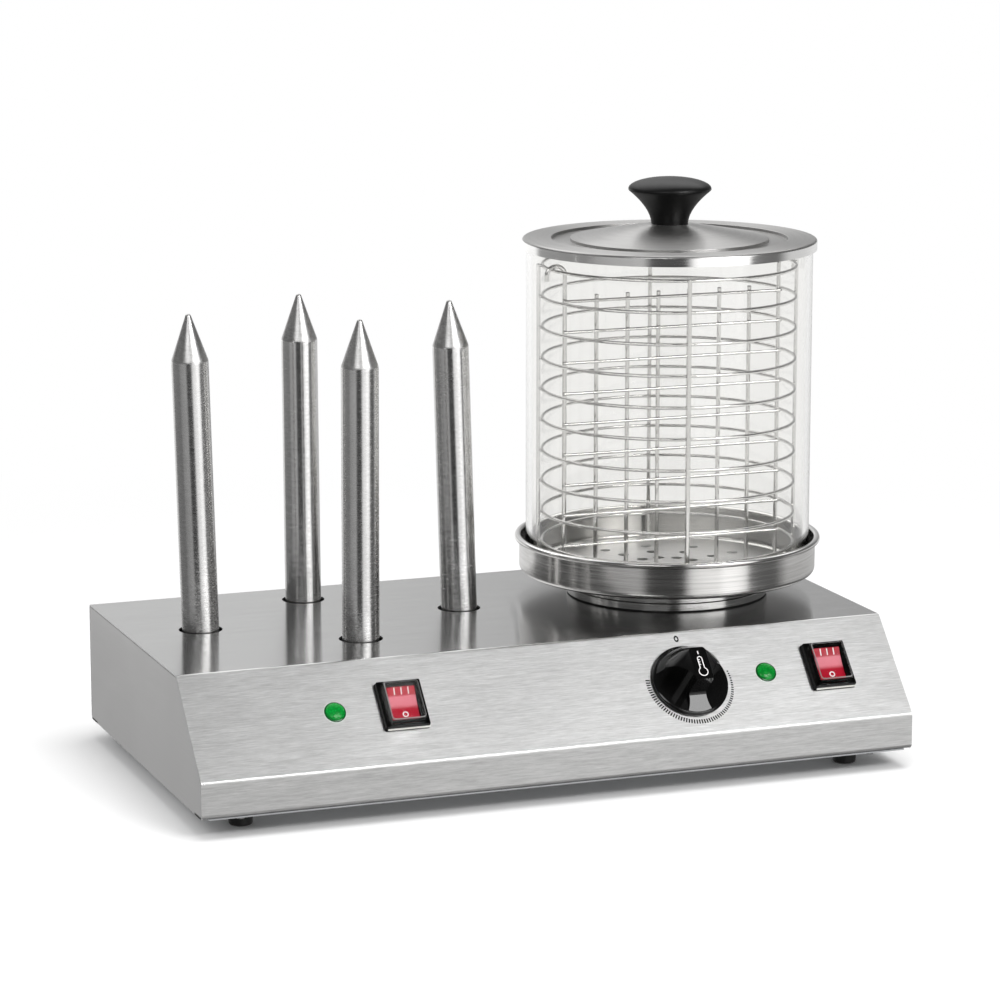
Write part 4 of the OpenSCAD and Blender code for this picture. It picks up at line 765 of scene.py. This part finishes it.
for side, x in switch_xs.items():
    bm = plate_of(cap_w, cap_l, bezel_h, cap_r)
    face = grow(bm, bm.faces[:], cap_h / 2)
    face = grow(bm, face, cap_h / 2, (1 - 2 * cap_taper / cap_w, 1 - 2 * cap_taper / cap_l))
    round_off(bm, list(face[0].edges), cap_round, 3)
    face_out(bm)
    if max(bm.faces, key=lambda f: f.calc_center_median().z).normal.z < 0:
        bmesh.ops.reverse_faces(bm, faces=bm.faces[:])
    bmesh.ops.solidify(bm, geom=bm.faces[:], thickness=cap_wall * mm)
    cap = fit_piece(put(bm, on_slope(x)), side + "_vinyl_cap", clear_cap, "base", "clear_cap",
                    side + "_splash_cap", crease=50)
    # painted highlight: faces on the bends of the clear cap get an opaque grey finish
    refinish(cap, painted_edge_highlight, lambda face: bend_from < face.normal.dot(out_slope) < bend_to)

# Pilot lights: green prismatic domes moulded in a seat painted dark as painted shade, pushed in beside each
# control and edged by a thin rim painted pale as a painted highlight.
dome_r, seat_r, rim_r, fit_gap = 6.4, 7.3, 7.65, 0.02
brim_h, dome_h = 1.2, 1.8
pilot_outline = [(0, fit_gap, 0), (dome_r, fit_gap, 0), (dome_r, brim_h, 0)]
pilot_outline += [(dome_r * math.cos(a), brim_h + dome_h * math.sin(a), 0)
                  for a in map(math.radians, (18, 36, 54, 72))] + [(0, brim_h + dome_h, 0)]
seat_outline = ((dome_r + fit_gap, fit_gap, 0), (seat_r, fit_gap, 0), (seat_r, 0.9, 0.3),
                (dome_r + fit_gap, brim_h, 0.1))
rim_outline = ((seat_r + fit_gap, fit_gap, 0), (rim_r, fit_gap, 0), (rim_r, 0.3, 0.1),
               (seat_r + fit_gap, 0.5, 0.1))
lens_green = moulded("lens_green", (0.001, 0.22, 0.022), (0.002, 0.30, 0.04), 0.10, 0.0, 900.0, gloss=0.3)
# painted shade: the seat ring round the lens is dark green
seat_painted_shade = moulded("seat_painted_shade", (0.002, 0.06, 0.012), (0.004, 0.085, 0.02), 0.12, 0.02, 900.0, gloss=0.4)
# painted highlight: the thin rim round the seat is pale green-white
rim_painted_highlight = moulded("rim_painted_highlight", (0.80, 0.86, 0.80), (0.72, 0.80, 0.74), 0.12, 0.02, 900.0, gloss=0.4)
tree = lens_green.node_tree
place, tint = tree.nodes["Texture Coordinate"].outputs["Object"], tree.nodes["Mix"].outputs[2]
prism = add(tree, "TexVoronoi", {"Vector": place, "Scale": 750.0})
facet = add(tree, "Bump", {"Height": prism, "Strength": 0.3, "Distance": 0.0004})
depth = spread(tree, prism, 0.1, 0.6, 1.15, 0.7)
mottle = add(tree, "VectorMath", {0: tint, "Scale": depth}, operation="SCALE")
feed(tree.nodes["Principled BSDF"], {"Base Color": mottle, "Normal": facet})
for side, x in pilot_xs.items():
    lens = turned(pilot_outline, closed=False, steps=64)
    fit_piece(put(lens, on_slope(x)), side + "_green_lens", lens_green, "base", "pilot_green",
              side + "_pilot_lens", crease=50)
    for outline, name, finish in ((seat_outline, "_lens_seat", seat_painted_shade),
                                  (rim_outline, "_lens_rim", rim_painted_highlight)):
        fit_piece(put(turned(outline, steps=64), on_slope(x)), side + name, finish, "base", "pilot_green",
                  crease=50)

# Thermostat knob: glossy black moulding pushed on the spindle: a round flange, and a tall grip that
# two finger scoops and a sloping tail cut leave standing, with softened edges.
knob_at = on_slope(knob_x, along=-knob_drop)
flange_r, flange_top_r, flange_low, flange_h = 26.5, 25.2, 0.6, 3.0
grip_r, grip_top, grip_half_w, grip_half_l, grip_edge = 24.5, 25.8, 6, 12.1, 1
crest_rounds, crest_steps = (0.8, 0.8, 2.5, 2.5), 12
waist_r, waist_h, knob_steps = 18.5, 16, 96
scoop_r, scoop_y, scoop_spare = 20, -13.7, 1
tail_r, tail_high, tail_angles = 2, 6.9, (0, -20, -40, -60, -75)
block_past, block_over, block_w = 12, 10, 80
knob_round, knob_crease = 0.7, 28


def solid_of(outline, depth, turn):
    """A block with the given outline, in millimetres, pulled both ways by half the depth, then turned."""
    bm = bmesh.new()
    face = bm.faces.new([bm.verts.new((a * mm, b * mm, -depth / 2 * mm)) for a, b in outline])
    grow(bm, [face], depth, keep=True)
    face_out(bm)
    return put(bm, turn)


def carve(body, tool, operation):
    """Cut or join one bmesh by another and give back the result as a new one."""
    pair = []
    for shape in (body, tool):
        mesh = bpy.data.meshes.new("blank")
        shape.to_mesh(mesh)
        shape.free()
        blank = bpy.data.objects.new("blank", mesh)
        bpy.context.collection.objects.link(blank)
        pair.append(blank)
    cutter = pair[0].modifiers.new("cut", "BOOLEAN")
    cutter.object, cutter.operation, cutter.solver = pair[1], operation, "EXACT"
    result = bmesh.new()
    result.from_object(pair[0], bpy.context.evaluated_depsgraph_get())
    for blank in pair:
        mesh = blank.data
        bpy.data.objects.remove(blank)
        bpy.data.meshes.remove(mesh)
    return result


crown = flange_low + flange_h
bm = bmesh.new()
bmesh.ops.create_circle(bm, cap_ends=True, radius=grip_r * mm, segments=knob_steps,
                        matrix=shift(0, 0, flange_low))
girdle = grow(bm, bm.faces[:], crown + grip_edge - flange_low, keep=True)
hoop = list(girdle[0].edges)
bmesh.ops.delete(bm, geom=girdle, context="FACES_ONLY")
crest = [bm.verts.new(Vector((x * grip_half_w, y * grip_half_l, grip_top)) * mm)
         for x, y in ((-1, -1), (1, -1), (1, 1), (-1, 1))]
bm.faces.new(crest)
for corner, rounding in zip(crest, crest_rounds):
    round_off(bm, [corner], rounding, crest_steps, "VERTICES")
peak = max(bm.faces, key=lambda f: f.calc_center_median().z)
waist_hoop = edges_of(bmesh.ops.create_circle(
    bm, radius=waist_r * mm, segments=knob_steps, matrix=shift(0, 0, waist_h))["verts"])
bmesh.ops.bridge_loops(bm, edges=hoop + waist_hoop)
bmesh.ops.bridge_loops(bm, edges=waist_hoop + list(peak.edges))
face_out(bm)
tail_block = [(-grip_half_l, grip_top + block_over)]
tail_block += [(-grip_half_l - tail_r + tail_r * math.cos(a), tail_high + tail_r * (1 + math.sin(a)))
               for a in map(math.radians, tail_angles)]
tail_block += [(-grip_r, crown), (-grip_r - block_past, crown), (-grip_r - block_past, grip_top + block_over)]
across_grip = Matrix.Rotation(math.pi / 2, 4, "Z") @ Matrix.Rotation(math.pi / 2, 4, "X")
bm = carve(bm, solid_of(tail_block, block_w, across_grip), "DIFFERENCE")
scoop_outline = ((0, -scoop_spare, 0), (scoop_r, -scoop_spare, 0), (scoop_r, grip_top + scoop_spare, 0),
                 (0, grip_top + scoop_spare, 0))
for side in (-1, 1):
    scoop = turned(scoop_outline, Vector((side * (grip_half_w + scoop_r), scoop_y, 0)) * mm, closed=False)
    bm = carve(bm, scoop, "DIFFERENCE")
flange_outline = ((0, flange_low, 0), (flange_r, flange_low, 0.6), (flange_r, crown - 0.8, 0.7),
                  (flange_top_r, crown, 0.8), (0, crown, 0))
bm = carve(bm, turned(flange_outline, closed=False, steps=128), "UNION")
bmesh.ops.remove_doubles(bm, verts=bm.verts[:], dist=2 * merge_within)
bmesh.ops.dissolve_limit(bm, angle_limit=math.radians(1), verts=bm.verts[:], edges=bm.edges[:])
knob = fit_piece(put(bm, knob_at), "thermostat_grip", gloss_black, "heat_dial", "gloss_black",
                 "thermostat_knob", crease=knob_crease, flat_faces=False)
soften = knob.modifiers.new("moulded_edges", "BEVEL")
soften.width, soften.segments, soften.harden_normals = knob_round * mm, 3, True
soften.limit_method, soften.angle_limit = "ANGLE", math.radians(knob_crease)

# Printed thermometer on the grip: an outline with a bulb, a stem with short degree strokes,
# and a dash beyond it that points at the dial.
line, ink_h, icon_z = 0.62, 0.06, grip_top + 0.02
bulb_r, bulb_y, stem_r, stem_y = 3.4, -6.5, 1.85, 3.3
mouth_y, mouth_half = 2.45, 1.35
strokes = ((line, 7.0, -1.54, -0.2), (line, 7.0, 1.54, -0.2), (1.1, 0.6, -0.8, 2.6), (1.1, 0.6, -0.8, 0.8),
           (1.1, 0.6, -0.8, -1.0), (line, 2.4, 0, 8.0))
bulb = loop_of(bulb_r - line, bulb_r, 0, ink_h, 48)
mouth = [v for v in bulb.verts if v.co.y > mouth_y * mm and abs(v.co.x) < mouth_half * mm]
bmesh.ops.delete(bulb, geom=mouth, context="VERTS")
stem = loop_of(stem_r - line, stem_r, 0, ink_h, 48)
bmesh.ops.delete(stem, geom=[v for v in stem.verts if v.co.y < -0.05 * mm], context="VERTS")
figure = [put(bulb, shift(0, bulb_y, icon_z)), put(stem, shift(0, stem_y, icon_z))]
figure += [put(stroke_of(w, l, icon_z, ink_h, 0.1, 2), shift(x, y, 0)) for w, l, x, y in strokes]
bm = gather(figure)
bmesh.ops.holes_fill(bm, edges=[edge for edge in bm.edges if edge.is_boundary], sides=8)
face_out(bm)
fit_piece(put(bm, knob_at), "printed_thermometer", white_print, "heat_dial", "gloss_black")

# Dial print: a black nought at the top of the dial and a fan of strokes that
# grows from dots to bars clockwise, screen-printed on the panel round the knob.
dial_start, dial_end, dial_steps, dial_in, dial_shift = 79.0, 277.6, 58, 28.6, 0.8
stroke_w, stroke_short, stroke_growth, grown_by = 0.95, 1.2, 1.9, 0.45
nought_y, nought_in, nought_out, nought_form = 33.6, 1.0, 2.0, (0.85, 1.25, 1, 1)
ink_low, ink_high = 0.02, 0.05
black_print = moulded(
    "black_print", (0.003, 0.003, 0.003), (0.005, 0.005, 0.005), 0.5, 0.05, 3000.0, gloss=0.1)
prints = []
for i in range(dial_steps):
    share = i / (dial_steps - 1)
    way = math.radians(dial_start + (dial_end - dial_start) * share)
    length = stroke_short + stroke_growth * min(1, share / grown_by)
    prints.append(put(stroke_of(stroke_w, length, ink_low, ink_high - ink_low, 0.08, 2),
                      Matrix.Rotation(-way, 4, "Z") @ shift(0, dial_in + length / 2, 0)))
prints.append(put(loop_of(nought_in, nought_out, ink_low, ink_high, 40),
                  shift(-dial_shift, nought_y, 0) @ Matrix.Diagonal(nought_form)))
bm = gather(prints)
face_out(bm)
fit_piece(put(bm, on_slope(knob_x + dial_shift, along=-knob_drop)), "dial_print", black_print,
          "base", "gloss_black")

# Cable gland: a black moulded gland screwed through the back with a nut inside;
# its tapered cap grips the mains cable.
gland_outline = ((4, -12, 0), (6, -12, 0), (6, 0, 0), (9, 0.05, 0), (9, 5, 0.6), (7, 10, 0.8), (4, 10, 0.4))
fit_piece(put(turned(gland_outline, steps=64), through_back), "tapered_gland", gloss_black, "base",
          "gloss_black", "cable_gland")
dress(gloss_black, "gland_nut")

# Studio: a pale floor that takes the machine's soft shadow and fades to white, four soft lamps,
# and white and grey panels round the set that the metal mirrors, low and high, by bearing in degrees.
floor_half, fade_from, fade_to = 4, 0.38, 1.1
lamps = (("right_softbox", (0.74, -1.72, 1.36), (1.1, 0.46), 14.3, True),
         ("left_softbox", (-1.1, -1.6, 1.3), (1.2, 0.46), 6.5, True),
         ("fill_lamp", (-1.7, -0.7, 1.3), (1.2, 1.2), 7.0, False),
         ("top_lamp", (0.2, -0.2, 2.2), (1.6, 1.6), 30.0, False))
lamps_aim = Vector((0, 0, 0.12))
low_panels = (
    (-180, 1.3), (-151, 1.3), (-145, 0.42), (-120, 0.38), (-86, 0.36), (-82, 0.56), (-43, 0.78), (-37, 0.1),
    (-10, 0.1), (-4, 1.5), (3, 1.75), (12, 1.85), (17, 1.8), (22, 2.3), (33, 2.2), (41, 1.8), (44, 0.25),
    (70, 0.2), (84, 0.9), (130, 0.9), (150, 0.8), (165, 1.2), (180, 1.3))
high_panels = (
    (-180, 0.6), (-160, 0.5), (-145, 0.12), (-43, 0.12), (-37, 0.05), (-10, 0.05), (-4, 0.8), (4, 0.9),
    (16, 0.95), (27, 1.5), (46, 1.7), (49, 0.15), (90, 0.12), (130, 0.18), (150, 0.38), (155, 0.47),
    (159, 0.56), (163, 0.72), (170, 0.68), (180, 0.6))
bm = bmesh.new()
bmesh.ops.create_grid(bm, x_segments=1, y_segments=1, size=floor_half)
floor = bpy.data.objects.new("studio_floor", bpy.data.meshes.new("studio_floor"))
bm.to_mesh(floor.data)
bm.free()
bpy.context.collection.objects.link(floor)
floor.visible_glossy = False
pale, tree, shader = new_finish(
    "pale_floor", {"Base Color": (0.93, 0.93, 0.93, 1), "Roughness": 0.9, "Specular IOR Level": 0.0})
place = add(tree, "TexCoord").outputs["Object"]
far = add(tree, "VectorMath", {0: place}, operation="LENGTH").outputs["Value"]
rays = add(tree, "LightPath").outputs
seen = add(tree, "Math", {0: rays["Is Camera Ray"], 1: rays["Is Transmission Ray"]}, operation="MAXIMUM")
fade = spread(tree, far, fade_from, fade_to, eased=True)
share = add(tree, "Math", {0: fade, 1: seen}, operation="MULTIPLY")
white = add(tree, "Emission", {"Color": (1, 1, 1, 1), "Strength": 1.0})
feed(tree.nodes["Material Output"], {"Surface": add(tree, "MixShader", {0: share, 1: shader, 2: white})})
floor.data.materials.append(pale)

for name, spot, size, power, mirrored in lamps:
    lamp = stand(name, bpy.data.lights.new(name, "AREA"), spot, lamps_aim - Vector(spot))
    lamp.data.shape, lamp.data.energy = "RECTANGLE", power
    lamp.data.size, lamp.data.size_y = size
    lamp.visible_glossy = mirrored

world = bpy.data.worlds.new("studio")
bpy.context.scene.world = world
world.use_nodes = True
tree = world.node_tree
place = add(tree, "TexCoord").outputs["Generated"]
split = add(tree, "SeparateXYZ", {0: place}).outputs
front = add(tree, "Math", {0: split["Y"], 1: -1.0}, operation="MULTIPLY")
bearing = add(tree, "Math", {0: split["X"], 1: front}, operation="ARCTAN2")
turn_share = spread(tree, bearing, -math.pi, math.pi)
rings = []
for panels in (low_panels, high_panels):
    ring = add(tree, "ValToRGB", {0: turn_share})
    stops = ring.color_ramp.elements
    for angle, value in panels:
        spot = angle / 360 + 0.5
        stop = stops[0] if spot == 0 else stops[-1] if spot == 1 else stops.new(spot)
        stop.color = (value, value, value, 1)
    rings.append(ring)
horizon = spread(tree, split["Z"], -0.06, 0.06, eased=True)
walls = add(tree, "Mix", {0: horizon, 2: rings[0], 3: rings[1]}, data_type="FLOAT")
near_floor = spread(tree, split["Z"], -0.28, -0.12, 0.3, 1.0)
dimmed = add(tree, "Math", {0: walls, 1: near_floor}, operation="MULTIPLY")
slant = add(tree, "VectorMath", {0: place, 1: (0, 0.25, 1)}, operation="DOT_PRODUCT").outputs["Value"]
overhead = spread(tree, slant, 0.57, 0.74, eased=True)
ceiling = spread(tree, split["Y"], -0.1, 0.45, 0.06, 1.65, eased=True)
mirror = add(tree, "Mix", {0: overhead, 2: dimmed, 3: ceiling}, data_type="FLOAT")
rays = add(tree, "LightPath").outputs
mirrored = add(tree, "Math", {0: rays["Is Glossy Ray"], 1: rays["Is Transmission Ray"]}, operation="MAXIMUM")
by_kind = add(tree, "Mix", {0: mirrored, 2: 0.55, 3: mirror}, data_type="FLOAT")
by_camera = add(tree, "Mix", {0: rays["Is Camera Ray"], 2: by_kind, 3: 1.0}, data_type="FLOAT")
feed(tree.nodes["Background"], {"Color": by_camera})

bpy.context.view_layer.update()
